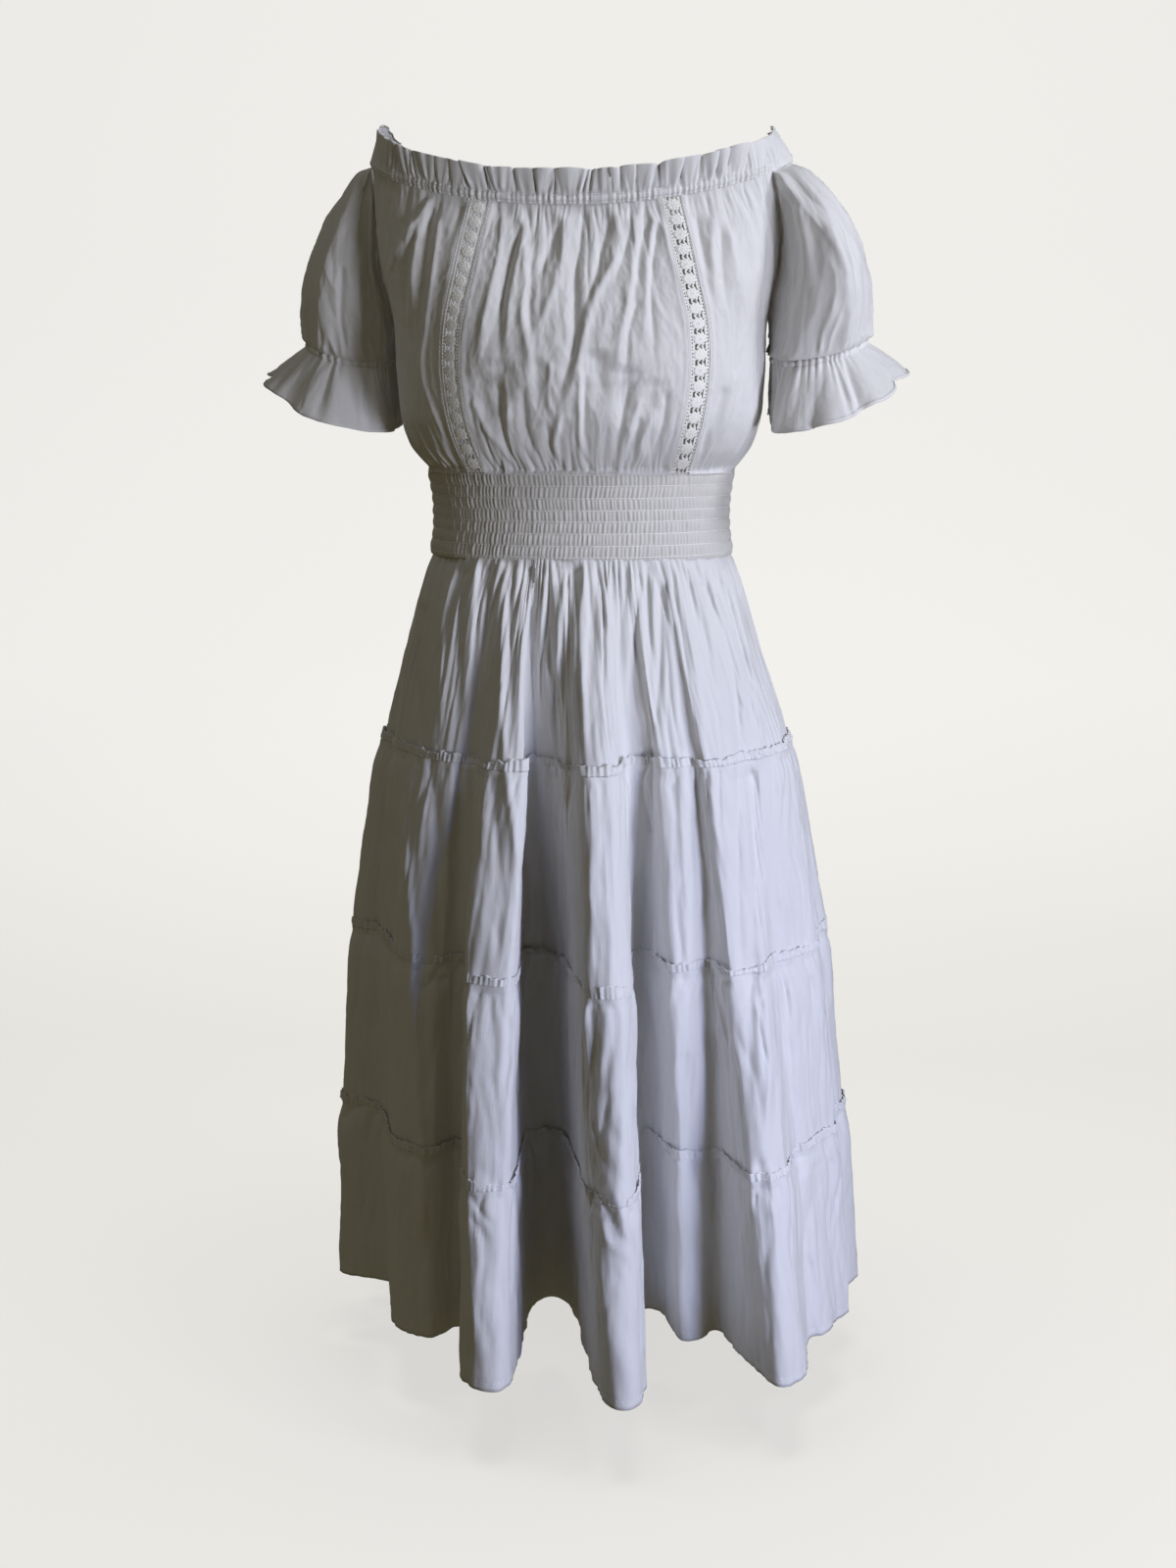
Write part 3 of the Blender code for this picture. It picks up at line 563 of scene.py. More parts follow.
def bodice_panel(node, first_turn, last_turn, columns, rows, seed, folds, laced, material):
    """A front or back panel: fine gathers under the neck casing and above the waist, long folds between.

    laced says which of its two sides are turned and stitched over the lace.
    """
    levels = np.linspace(-0.012, 1.014, rows)
    start = first_turn(levels)[:, None]
    turn = start + (last_turn(levels)[:, None] - start) * np.linspace(0, 1, columns)
    level = np.broadcast_to(levels[:, None], turn.shape)
    form = bodice_point(turn, level)
    place = lengths_along(form, 1)
    width = place[-1]
    below = (1 - level) * (NECK_FRONT - BODICE_BOTTOM)
    above = level * (NECK_FRONT - BODICE_BOTTOM)
    relief = 0.0019 * fade(below, 0.014) * drawn_up(seed, place, below, 0.0050, 0.045)
    relief += 0.0030 * (0.04 + 0.96 * fade(below, 0.060)) * drawn_up(seed + 2, place, below, 0.0140, 0.095)
    relief += 0.0019 * fade(above, 0.012) * drawn_up(seed + 4, place, above, 0.0056, 0.040)
    relief += 0.0028 * fade(above, 0.026) * drawn_up(seed + 6, place, above, 0.0115, 0.065)
    middle = eased(below / 0.03) * eased(above / 0.03)
    relief += middle * (0.0007 * wrinkle(seed + 8, place, below, 0.022, 0.07) + crumple(seed + 9, place, below, 0.0008, 0.011))
    relief += 1.05 * laid_folds(form, folds)
    relief = relief * (0.35 + 0.65 * eased(below / 0.009)) + 0.0006 * fade(below, 0.006)
    edges = np.minimum(place, width - place)
    relief *= 0.25 + 0.75 * eased(edges / 0.007)
    runs = []
    for is_laced, edge, middle_column in ((laced[0], place, 1), (laced[1], width - place, -2)):
        if not is_laced:
            continue
        relief += (0.0008 - 0.0003 * np.exp(-(((edge - 0.0022) / 0.0006) ** 2))) * (1 - eased((edge - 0.0035) / 0.004))
        runs.append(int(np.argmin(np.abs(edge - 0.0022))))
    tucked = eased((level - 1) / 0.010) + eased(-level / 0.010)
    relief = relief * (1 - tucked) - 0.0007 * tucked
    points = raised(form, relief)
    out = normals_of(points)
    piece = cloth_piece(node, points, material)
    return piece, [(points[:, column], out[:, column]) for column in runs]


def build_bodice(material, thread):
    def lace_edge(across, side):
        return lambda level: side * lace_turn(level, across * LACE_SHOWN, side)

    def seam_edge(seam, side, round_turn=0.0):
        return lambda level: round_turn + side * seam(level, side)

    both, first, last, neither = (True, True), (True, False), (False, True), (False, False)
    panels = (
        ("bodice_front_centre", lace_edge(-1, -1), lace_edge(-1, 1), 175, 165, 11, CENTRE_FOLDS, both),
        ("bodice_front_left", lace_edge(1, 1), seam_edge(front_seam, 1), 92, 165, 23, LEFT_FOLDS, first),
        ("bodice_front_right", seam_edge(front_seam, -1), lace_edge(1, -1), 92, 165, 34, RIGHT_FOLDS, last),
        ("bodice_back", seam_edge(back_seam, 1), seam_edge(back_seam, -1, 2 * math.pi), 150, 84, 47, (), neither),
    )
    runs = []
    for panel in panels:
        runs += bodice_panel(*panel, material)[1]
    thread_piece("lace_stitching", runs, thread)


def lace_pattern(across, up):
    """Stand-off and open cells of the crochet insertion, from millimetres across and up the strip.

    Solid round rosettes in a row, a ring of small openings about each, open crosses between them, and an
    openwork ladder along both edges inside a corded border.
    """
    pitch = 1000 * (NECK_FRONT - BODICE_BOTTOM) / LACE_ROSETTES
    centre = (np.floor(up / pitch) + 0.5) * pitch
    high = (up - centre) * LACE_ROSETTE_PITCH / pitch
    beside = np.abs(across)
    from_middle = np.hypot(across, high)
    angle = np.arctan2(high, across)
    relief = 0.85 * np.exp(-((from_middle / 4.9) ** 6)) - 0.22 * np.exp(-(((from_middle - 2.6) / 0.5) ** 2))
    relief += 0.12 * np.cos(8 * angle) * np.exp(-(((from_middle - 3.6) / 1.1) ** 2))
    hollow = from_middle < 0.62
    hollow |= (np.abs(from_middle - 5.25) < 0.75) & (np.cos(9 * angle) > -0.35) & (beside < 5.2)
    between = LACE_ROSETTE_PITCH / 2 - np.abs(high)
    outside = (from_middle > 5.6) & (beside < 5.1)
    bars = (np.abs(beside - 1.5 - 0.6 * between) < 0.36) | (np.abs(beside - 4.6) < 0.30)
    hollow |= outside & ~bars
    relief += 0.25 * (outside & bars)
    rung = (up / 2.7) % 1
    hollow |= (np.abs(beside - 6.15) < 0.72) & (rung < 0.66)
    relief += 0.40 * np.exp(-(((beside - 7.1) / 0.5) ** 2)) * (0.8 + 0.2 * np.cos(2 * math.pi * up / 1.8))
    return relief / 1000, hollow


def build_lace(material):
    """Both strips of lace, each a little wider than what shows between the panels' turned edges."""
    across = np.linspace(-0.76, 0.76, 43)
    levels = np.linspace(-0.006, 1.006, 430)
    for node, side in (("lace_left", 1), ("lace_right", -1)):
        turn = np.stack([lace_turn(levels, place, side) for place in across], axis=1)
        form = bodice_point(side * turn, np.broadcast_to(levels[:, None], turn.shape))
        mm_across = np.broadcast_to(across[None, :] * LACE_HALF * 1000, turn.shape)
        mm_up = np.broadcast_to(levels[:, None] * (NECK_FRONT - BODICE_BOTTOM) * 1000, turn.shape)
        relief, hollow = lace_pattern(mm_across, mm_up)
        relief = relief + np.random.default_rng(61).uniform(-0.00008, 0.00008, turn.shape)
        if side < 0:
            form, relief, hollow = form[:, ::-1], relief[:, ::-1], hollow[:, ::-1]
        solid = ~(hollow[:-1, :-1] & hollow[1:, 1:] & hollow[1:, :-1] & hollow[:-1, 1:])
        cloth_piece(node, raised(form, relief), material, mask=solid)


# Neck


def uneven_wave(seed, place, spacing, broad=0.6, steps=(0.6, 1.4), sizes=(0.5, 1.2)):
    """A wave of 1 on its broad ridges and -1 in its narrow valleys, no two alike, closing on itself."""
    chance = np.random.default_rng(seed)
    total = place[-1] + (place[-1] - place[-2])
    count = 2 * max(2, round(total / spacing))
    knots = np.concatenate([[0], np.cumsum(np.repeat(chance.uniform(*steps, count // 2), 2) * chance.uniform(0.8, 1.2, count))])
    knots *= total / knots[-1]
    size = chance.uniform(*sizes, count + 1)
    size[-1] = size[0]
    phase = np.interp(place, knots, math.pi * np.arange(count + 1))
    ridge = ((1 + np.cos(phase)) / 2) ** broad
    return (2 * ridge - 1) * np.interp(place, knots, size), np.sin(phase) * np.interp(place, knots, size)


def split_pieces(points, cuts, material, nodes):
    """A closed ring of cloth as several pieces that meet at the given columns, one for each node."""
    columns = points.shape[1]
    for number, node in enumerate(nodes):
        start = cuts[number]
        end = cuts[(number + 1) % len(cuts)]
        end = end if end > start else end + columns
        chosen = np.arange(start, end + 1) % columns
        cloth_piece(node, points[:, chosen], material)


def column_at(turns, wanted):
    return int(np.argmin(np.abs((turns - wanted + math.pi) % (2 * math.pi) - math.pi)))


def build_neck(material, thread):
    """The narrow pinched casing, and above it the ruffle that its elastic gathers, in one cloth with it."""
    columns = 880
    turn = 2 * math.pi * np.arange(columns) / columns
    x, y = bodice_outline(turn, 1.0)
    line = points_of(x, y, neckline(turn))
    place = np.concatenate([[0], np.cumsum(np.linalg.norm(np.diff(line, axis=0), axis=1))])
    around = place[-1] + place[-1] - place[-2]
    fine, _ = uneven_wave(71, place, 0.0038, 0.7, (0.5, 1.6), (0.35, 1.2))
    half = CASING_HEIGHT / 2
    casing = []
    for up in np.linspace(-1.05, 1.05, 17):
        pinch = math.exp(-(((abs(up) - 0.60) / 0.20) ** 2))
        out = 0.0009 * (1 - up**4) + 0.0002 - 0.0007 * pinch + 0.0013 * fine * (1 - 0.35 * up * up)
        x, y = bodice_outline(turn, 1.0, np.maximum(out, -0.0009))
        casing.append(points_of(x, y, neckline(turn) + half * up))
    casing = np.array(casing)
    split_pieces(
        casing,
        (column_at(turn, -math.pi / 2), column_at(turn, math.pi / 2)),
        material,
        ("neck_casing_front", "neck_casing_back"),
    )
    flute, lean = uneven_wave(72, place, 0.0175, 0.30, (0.35, 1.75), (0.45, 1.25))
    ripple, _ = uneven_wave(73, place, 0.0068, 0.45, (0.4, 1.8), (0.1, 1.4))
    calm = 1 - 0.8 * eased((np.abs(np.sin(turn)) - 0.86) / 0.10)
    flute, lean, ripple = flute * calm, lean * calm, ripple * calm
    side = np.abs(np.sin(turn))
    left = eased(np.sin(turn) * 4 - 2.6)
    height = RUFFLE_FRONT + (RUFFLE_SIDE - RUFFLE_FRONT) * side**3 - RUFFLE_LOWER_LEFT * left
    height = height + 0.0014 * flute + 0.0012 * wrinkle(75, place, 0.0 * place, 0.011, 1.0, around)
    flare = RUFFLE_FLARE_FRONT + (RUFFLE_LEAN_SIDE - RUFFLE_FLARE_FRONT) * side**4 - 0.006 * side**6 - RUFFLE_LEAN_LEFT * left
    longer = np.concatenate([place - around, place, place + around])
    longer_turn = np.concatenate([turn - 2 * math.pi, turn, turn + 2 * math.pi])
    rows = []
    for up, roll, dip in [(up, 0, 0) for up in np.linspace(-0.06, 1, 24)] + [(1, 0.0004, -0.0001), (1, 0.0010, 0.0009)]:
        share = eased(up * 0.8) ** 0.7 if up > 0 else 0.0
        here = np.full(columns, 0.02 * max(up, 0))
        folded = wrinkle(76, place, here, 0.0090, 0.016, around)
        out = flare * up + (0.0008 + 0.0062 * share) * flute + 0.0010 * fine * (1 - share)
        out += 0.0018 * ripple * (1 - 0.4 * share) * min(1, 5 * max(up, 0)) + 0.0016 * calm * folded * share - roll
        slide = 0.0050 * share * lean + 0.0065 * max(up, 0) * wrinkle(77, place, 0.0 * place, 0.030, 1.0, around)
        slid = np.interp(place + slide, longer, longer_turn)
        x, y = bodice_outline(slid, 1.0, out)
        rows.append(points_of(x, y, neckline(slid) + half + (height - half) * up - dip))
    cuts = [-front_seam(1, -1), front_seam(1, 1), back_seam(1, 1), -back_seam(1, -1)]
    nodes = ("neck_ruffle_front", "neck_ruffle_left", "neck_ruffle_back", "neck_ruffle_right")
    split_pieces(np.array(rows), [column_at(turn, cut) for cut in cuts], material, nodes)
    runs = []
    for row in (3, 13):
        runs.append((casing[row], normals_of(casing, True)[row]))
    thread_piece("neck_stitching", runs, thread, stitch=0.0020, gap=0.0014, thick=0.0004, lift=0.0002)


# Sleeves


def sleeve_edge(side, per_column):
    """Level and turn of each column's upper end: up the front raglan seam, along the neck, down the back."""
    clear = 1.5 * ANGLED_SEAM_GAP / 0.16
    seam_levels = np.array([UNDERARM_LEVEL, *LEVELS_ABOVE_UNDERARM])
    up = np.interp(np.arange(per_column * len(seam_levels)) / per_column, np.arange(len(seam_levels) + 1), [*seam_levels, 1])
    front = front_seam(up, side) + clear * np.minimum(1, np.arange(len(up)) / per_column)
    neck = np.linspace(
        front_seam(1, side) + clear, back_seam(1, side) - clear, SLEEVE_COLUMNS_AT_NECK * per_column + 1
    )
    down = up[:0:-1]
    back = back_seam(down, side) - clear * np.minimum(1, np.arange(len(up))[:0:-1] / per_column)
    return np.concatenate([up, np.ones_like(neck), down]), np.concatenate([front, neck, back])


def cuff_ring(share, height, back, widen=0.0):
    """A ring of the cuff on the wearer's left, from its inner side round by the front."""
    angle = 2 * math.pi * np.asarray(share)
    x = CUFF_CENTRE - (CUFF_HALF_WIDTH + widen) * np.cos(angle)
    y = back - (CUFF_HALF_DEPTH + widen) * np.sin(angle)
    return points_of(x, y, height - CUFF_TILT_OUT * np.cos(angle) - CUFF_TILT_FRONT * np.sin(angle))


def sleeve_form(share, ups, side, back, front_puff, per_column):
    """The puffed sleeve as on the wearer's left, from the cuff up to the raglan seams and the neck."""
    angle = 2 * math.pi * share
    low = cuff_ring(share, CUFF_HEIGHT + CUFF_CASING / 2, back)
    levels, turns = sleeve_edge(side, per_column)
    near = np.clip(1 - (levels - UNDERARM_LEVEL) / (LEVELS_ABOVE_UNDERARM[1] - UNDERARM_LEVEL), 0, 1)
    high = bodice_point(turns, levels, (levels < 1) * 0.0006 + near * 0.0012)
    outer = (1 - np.cos(angle)) / 2
    puff = PUFF_OUT * outer + front_puff * np.abs(np.sin(angle)) ** 1.3
    sideways = np.maximum(-np.cos(angle), SLEEVE_HEAD_OUT * np.abs(np.sin(angle)))
    away = np.stack([sideways, -np.sin(angle), np.zeros_like(angle)], axis=-1)
    fullest = PUFF_STEEP_AT_CUFF / (PUFF_STEEP_AT_CUFF + PUFF_STEEP_AT_NECK)
    most = fullest**PUFF_STEEP_AT_CUFF * (1 - fullest) ** PUFF_STEEP_AT_NECK
    rows = []
    for up in ups:
        swell = puff * up**PUFF_STEEP_AT_CUFF * (1 - up) ** PUFF_STEEP_AT_NECK / most
        rows.append(low * (1 - up) + high * up + away * swell[:, None])
    toward_front = np.where(np.arange(len(levels)) < len(levels) / 2, -1, 1) * (levels < 1)
    under = bodice_point(turns + toward_front * 0.010, levels + (levels >= 1) * 0.012, -0.0010)
    return np.concatenate([rows, [under]])


def mirrored(points):
    """The same piece on the wearer's right."""
    return points * np.array([-1.0, 1.0, 1.0])


def build_sleeves(material, thread):
    per_column = 8
    runs = []
    for name, side, back, front_puff, outer_drop in SLEEVES:
        seed = 100 if side > 0 else 200
        columns = len(sleeve_edge(side, per_column)[0])
        share = np.arange(columns) / columns
        ups = np.concatenate([[0.0], np.linspace(0.012, 1, 84)])
        form = sleeve_form(share, ups, side, back, front_puff, per_column)
        turned = form[:, ::-1] if side > 0 else mirrored(form)
        place = lengths_along(turned, 1)
        around = place[-1] + place[-1] - place[-2]
        height = lengths_along(turned, 0)
        above = height[:, None]
        below = (height[-1] - height)[:, None]
        relief = 0.0019 * fade(below, 0.016) * drawn_up(seed, place, below, 0.0060, 0.040, around)
        relief += 0.0038 * (0.45 + 0.55 * fade(below, 0.05)) * drawn_up(seed + 2, place, below, 0.0170, 0.085, around)
        relief += 0.0040 * fade(above, 0.022) * drawn_up(seed + 4, place, above, 0.0100, 0.045, around)
        relief += 0.0026 * wrinkle(seed + 6, place, below, 0.036, 0.075, around)
        relief += crumple(seed + 8, place, below, 0.0009, 0.014, around)
        relief += np.where(turned[..., 1] < back, laid_folds(turned, SLEEVE_FOLDS[name]), 0)
        rim = np.minimum(np.arange(len(form)) / 3, (len(form) - 2 - np.arange(len(form))) / 5).clip(0, 1)
        relief *= eased(0.22 + 0.78 * rim)[:, None]
        cloth_piece(f"sleeve_{name}", raised(turned, relief, True), material, True)
        runs += build_cuff(name, side, back, outer_drop, seed, material)
    thread_piece("cuff_stitching", runs, thread, stitch=0.0022, gap=0.0014, thick=0.0004, lift=0.0002)


def build_cuff(name, side, back, outer_drop, seed, material):
    """A sleeve's narrow elastic casing and the flared frill under it; gives its rows of stitching."""
    columns = 320
    share = np.arange(columns) / columns
    angle = 2 * math.pi * share
    ring = cuff_ring(share, CUFF_HEIGHT, back)
    place = np.concatenate([[0], np.cumsum(np.linalg.norm(np.diff(ring, axis=0), axis=1))])
    around = place[-1] + place[-1] - place[-2]
    fine, _ = uneven_wave(seed + 5, place, 0.0062, 0.6, (0.4, 1.7), (0.3, 1.3))
    casing = []
    for up in np.linspace(-1.1, 1.1, 11):
        widen = 0.0010 * (1 - up * up) - 0.0004 + 0.0014 * fine * (1 - 0.3 * up * up)
        casing.append(cuff_ring(share, CUFF_HEIGHT + CUFF_CASING / 2 * up, back, widen))
    casing = np.array(casing)
    casing = casing[:, ::-1] if side > 0 else mirrored(casing)
    cloth_piece(f"cuff_casing_{name}", casing, material, True)
    outer = (1 - np.cos(angle)) / 2
    front = np.sin(angle) ** 2
    flare = FRILL_FLARE_OUT * outer**2 + FRILL_FLARE_FRONT * front
    drop = FRILL_DROP_IN + (outer_drop - FRILL_DROP_IN) * outer**3
    drop = drop + (FRILL_DROP_FRONT - FRILL_DROP_IN) * front
    corner = np.minimum(share, 1 - share) / FRILL_CORNER
    drop = drop - (FRILL_CORNER_RISE if side > 0 else 0.0) * np.exp(-(corner**2))
    wave, lean = uneven_wave(seed + 6, place, 0.034, 0.85, (0.5, 1.6), (0.5, 1.1))
    small, _ = uneven_wave(seed + 7, place, 0.013, 0.7, (0.4, 1.7), (0.1, 1.2))
    top = CUFF_HEIGHT - CUFF_CASING / 2 + 0.0006
    frill = []
    for down in np.linspace(1, 0, 42):
        fanned = share + 0.010 * down * lean
        soft = (0.0060 * wave * (0.35 + 0.65 * outer) * down + 0.0022 * small * math.sin(math.pi * min(1, down * 0.9)))
        gathers = 0.0015 * fine * math.exp(-down / 0.20)
        frill.append(cuff_ring(fanned, top - drop * down, back, flare * down**0.9 + soft + gathers))
    frill = np.array(frill)
    frill = frill[:, ::-1] if side > 0 else mirrored(frill)
    place = lengths_along(frill, 1)
    above = lengths_along(frill, 0)[:, None]
    relief = crumple(seed + 9, place, above, 0.0009, 0.013, place[-1] + place[-1] - place[-2])
    frill = raised(frill, relief * np.linspace(1, 0.3, len(frill))[:, None], True)
    inward = -normals_of(frill, True)
    hem = np.concatenate([[frill[2] + inward[2] * 0.0008, frill[0] + inward[0] * 0.0007], frill])
    cloth_piece(f"cuff_frill_{name}", hem, material, True)
    lines = [casing[3], casing[7], frill[4]]
    outs = [normals_of(casing, True)[3], normals_of(casing, True)[7], normals_of(frill, True)[4]]
    return list(zip(lines, outs))


# Waist


def waist_outline(turn, height, out):
    width, depth = read_table(WAIST_SECTIONS, height)
    across = np.sin(turn)
    along = np.cos(turn)
    normal = np.hypot(across * depth, along * width)
    x = width * across + out * across * depth / normal
    y = -depth * along - out * along * width / normal
    return points_of(x, y, height)


def build_waist(material, thread):
    """Rows of elastic thread that draw the cloth into small slanting puckers, which shift from row to row."""
    chance = np.random.default_rng(81)
    stitched = STITCH_PITCH * (np.arange(STITCH_ROWS) - (STITCH_ROWS - 1) / 2)
    heights = np.linspace(-WAIST_HALF_HEIGHT - 0.0008, WAIST_HALF_HEIGHT + 0.0008, 74)
    rows = np.array([-0.045, *stitched, 0.045])
    count = 260
    runs = []
    for node, middle, columns in (("waist_front", 0.0, 450), ("waist_back", math.pi, 280)):
        turn = middle + np.linspace(-math.pi / 2, math.pi / 2, columns)
        form = np.array([waist_outline(turn, height, 0.0) for height in heights])
        place = lengths_along(form, 1)
        slant = chance.choice([-1, 1], len(rows)) * chance.uniform(0.0006, 0.0013, len(rows))
        tables = []
        for _ in rows:
            knots = np.cumsum(chance.uniform(0.6, 1.5, count)) * PUCKER_WIDTH / 2 - 0.004
            tables.append((knots, chance.uniform(0.45, 1.15, count)))
        relief = []
        for height in heights:
            band = int(np.searchsorted(rows, height)) - 1
            within = (height - rows[band]) / (rows[band + 1] - rows[band])
            knots, size = tables[band]
            slid = place + slant[band] * (within - 0.5) + 0.0005 * np.sin(place / 0.011 + 3 * band)
            pucker = (1 + np.cos(np.interp(slid, knots, math.pi * np.arange(count)))) / 2
            swell = math.sin(math.pi * within) ** 0.7
            rise = PUCKER_RISE * (0.25 + 0.75 * swell) * pucker**0.8 * np.interp(slid, knots, size)
            relief.append(rise + 0.0004 * swell)
        relief = np.array(relief) + 0.0012 + 0.0003 * wrinkle(82, place, heights[:, None] + 0.05, 0.012, 0.008)
        ends = np.minimum(heights + WAIST_HALF_HEIGHT + 0.0008, WAIST_HALF_HEIGHT + 0.0008 - heights)
        relief = relief * eased(0.35 + 0.65 * ends / 0.003)[:, None]
        points = raised(form, relief)
        cloth_piece(node, points, material)
        out = normals_of(form)
        for row in stitched:
            number = int(np.argmin(np.abs(heights - row)))
            runs.append((form[number] + out[number] * (relief[number] * 0.8 + 0.0003)[:, None], out[number]))
    thread_piece("waist_stitching", runs, thread, stitch=0.0032, gap=0.0004, thick=0.0007)


# Skirt


def seam_height(turn, level):
    """A tier seam or the hem at this level dips a little at the centre front."""
    return SEAM_LEVELS[level] - (SEAM_SAG * (1 + np.cos(turn)) / 2 if 0 < level < 4 else 0.0)


def fold_share(height, carry):
    """How much of a fold's reach at the hem is left at a height."""
    waist, seam_1, seam_2, _, hem = SEAM_LEVELS
    return np.interp(height, [hem, seam_2, seam_1, waist], [1.0, carry, carry * FOLD_SHARE_AT_SEAM_1, 0.0])


def skirt_base(turn, height):
    width, front, back, shift = read_table(SKIRT_SECTIONS, height)
    depth = front if math.cos(turn) > 0 else back
    return np.array([shift + width * math.sin(turn), -depth * math.cos(turn)]), width, depth


def fold_half_width(number, share):
    """Half widths of a fold's crest and trough, narrowed where a small share leaves it little room."""
    crest, _, _, half, trough, _, trough_half, _ = SKIRT_FOLDS[number]
    trough_before = SKIRT_FOLDS[number - 1][4] - (360 if number == 0 else 0)
    next_crest = SKIRT_FOLDS[(number + 1) % len(SKIRT_FOLDS)][0] + (360 if number == len(SKIRT_FOLDS) - 1 else 0)
    crest_room = 0.4 * min(crest - trough_before, trough - crest)
    trough_room = 0.4 * min(trough - crest, next_crest - trough)
    freed = min(1.0, share / FOLD_FREE_SHARE)
    return min(half, crest_room + freed * half), min(trough_half, trough_room + freed * trough_half)


def fold_corners(height):
    """The corners of the skirt's outline at a height, two on each crest and two in each trough."""
    corners = []
    for number, (crest, reach, lean, _, trough, depth, _, carry) in enumerate(SKIRT_FOLDS):
        share = float(fold_share(height, carry))
        crest_half, trough_half = fold_half_width(number, share)
        for middle, out, sideways, wide in ((crest, reach, lean, crest_half), (trough, depth, 0.0, trough_half)):
            centre = math.radians(middle)
            _, width, deep = skirt_base(centre, height)
            normal = np.array([math.sin(centre) * deep, -math.cos(centre) * width])
            normal /= np.linalg.norm(normal)
            along = np.array([-normal[1], normal[0]])
            for sign in (-1, 1):
                corner = skirt_base(centre + sign * math.radians(wide), height)[0]
                corners.append(corner + share * (out * normal + sideways * along))
    return np.array(corners)


def smooth_ring(corners, counts):
    """A closed smooth curve through the corners, with the given number of points after each."""
    index = np.repeat(np.arange(len(corners)), counts)
    t = np.concatenate([np.arange(count) / count for count in counts])[:, None]
    after = np.roll(corners, -1, axis=0)
    slope = (after - np.roll(corners, 1, axis=0)) / 2
    next_slope = np.roll(slope, -1, axis=0)
    return (
        (1 + 2 * t) * (1 - t) ** 2 * corners[index]
        + t * (1 - t) ** 2 * slope[index]
        + t**2 * (3 - 2 * t) * after[index]
        + t**2 * (t - 1) * next_slope[index]
    )


def evened(ring, reach=7):
    """The same closed curve with its points spread out where they had crowded together."""
    closed = np.concatenate([ring, ring[:1]])
    place = np.concatenate([[0], np.cumsum(np.linalg.norm(np.diff(closed, axis=0), axis=1))])
    even = np.arange(len(ring)) * place[-1] / len(ring)
    drift = place[:-1] - even
    for _ in range(2):
        drift = sum(np.roll(drift, shift) for shift in range(-reach, reach + 1)) / (2 * reach + 1)
    wanted = (even + drift) % place[-1]
    return np.stack([np.interp(wanted, place, closed[:, 0]), np.interp(wanted, place, closed[:, 1])], axis=-1)


def column_counts(level, front_step, back_step):
    """How many columns follow each corner, from the outline's length at a seam level."""
    corners = fold_corners(SEAM_LEVELS[level])
    after = np.roll(corners, -1, axis=0)
    length = np.linalg.norm(after - corners, axis=1)
    step = np.where((corners + after)[:, 1] < 0.02, front_step, back_step)
    return np.maximum(2, np.ceil(length * 1.03 / step)).astype(int)


def moved_out(ring, distance):
    """A ring of the skirt moved out of the cloth by the given distance."""
    along = np.roll(ring, -1, axis=0) - np.roll(ring, 1, axis=0)
    length = np.linalg.norm(along, axis=1)
    out = np.stack([along[:, 1], -along[:, 0]], axis=-1) / length[:, None]
    return ring + out * np.asarray(distance)[..., None]


def side_columns(ring):
    turn = np.arctan2(ring[:, 0], -ring[:, 1])
    return [column_at(turn, -math.pi / 2), column_at(turn, math.pi / 2)]


def tier_form(tier, counts, drops):
    """One tier row by row from its lower edge up, puffed out a little under its top seam."""
    top = SEAM_LEVELS[tier]
    bottom = SEAM_LEVELS[tier + 1]
    rows = []
    for drop in drops[::-1]:
        height = top - drop
        ring = evened(smooth_ring(fold_corners(height), counts))
        turn = np.arctan2(ring[:, 0], -ring[:, 1])
        below = max(drop, 0) / TIER_PUFF_DROP
        puff = TIER_PUFF * below * math.exp(1 - below) + (0.0010 if tier else -0.0006)
        share = (top - height) / (top - bottom)
        z = seam_height(turn, tier) * (1 - share) + seam_height(turn, tier + 1) * share
        ring = moved_out(ring, np.full(len(ring), puff))
        rows.append(points_of(ring[:, 0], ring[:, 1], z))
    return np.array(rows)


def laid_forward(points):
    """The skirt's front with its laid folds, which stand straight out to the front."""
    front = eased(-points[..., 1] / 0.02)
    return points - np.array([0, 1, 0]) * (front * laid_folds(points, SKIRT_FOLDS_LAID))[..., None]


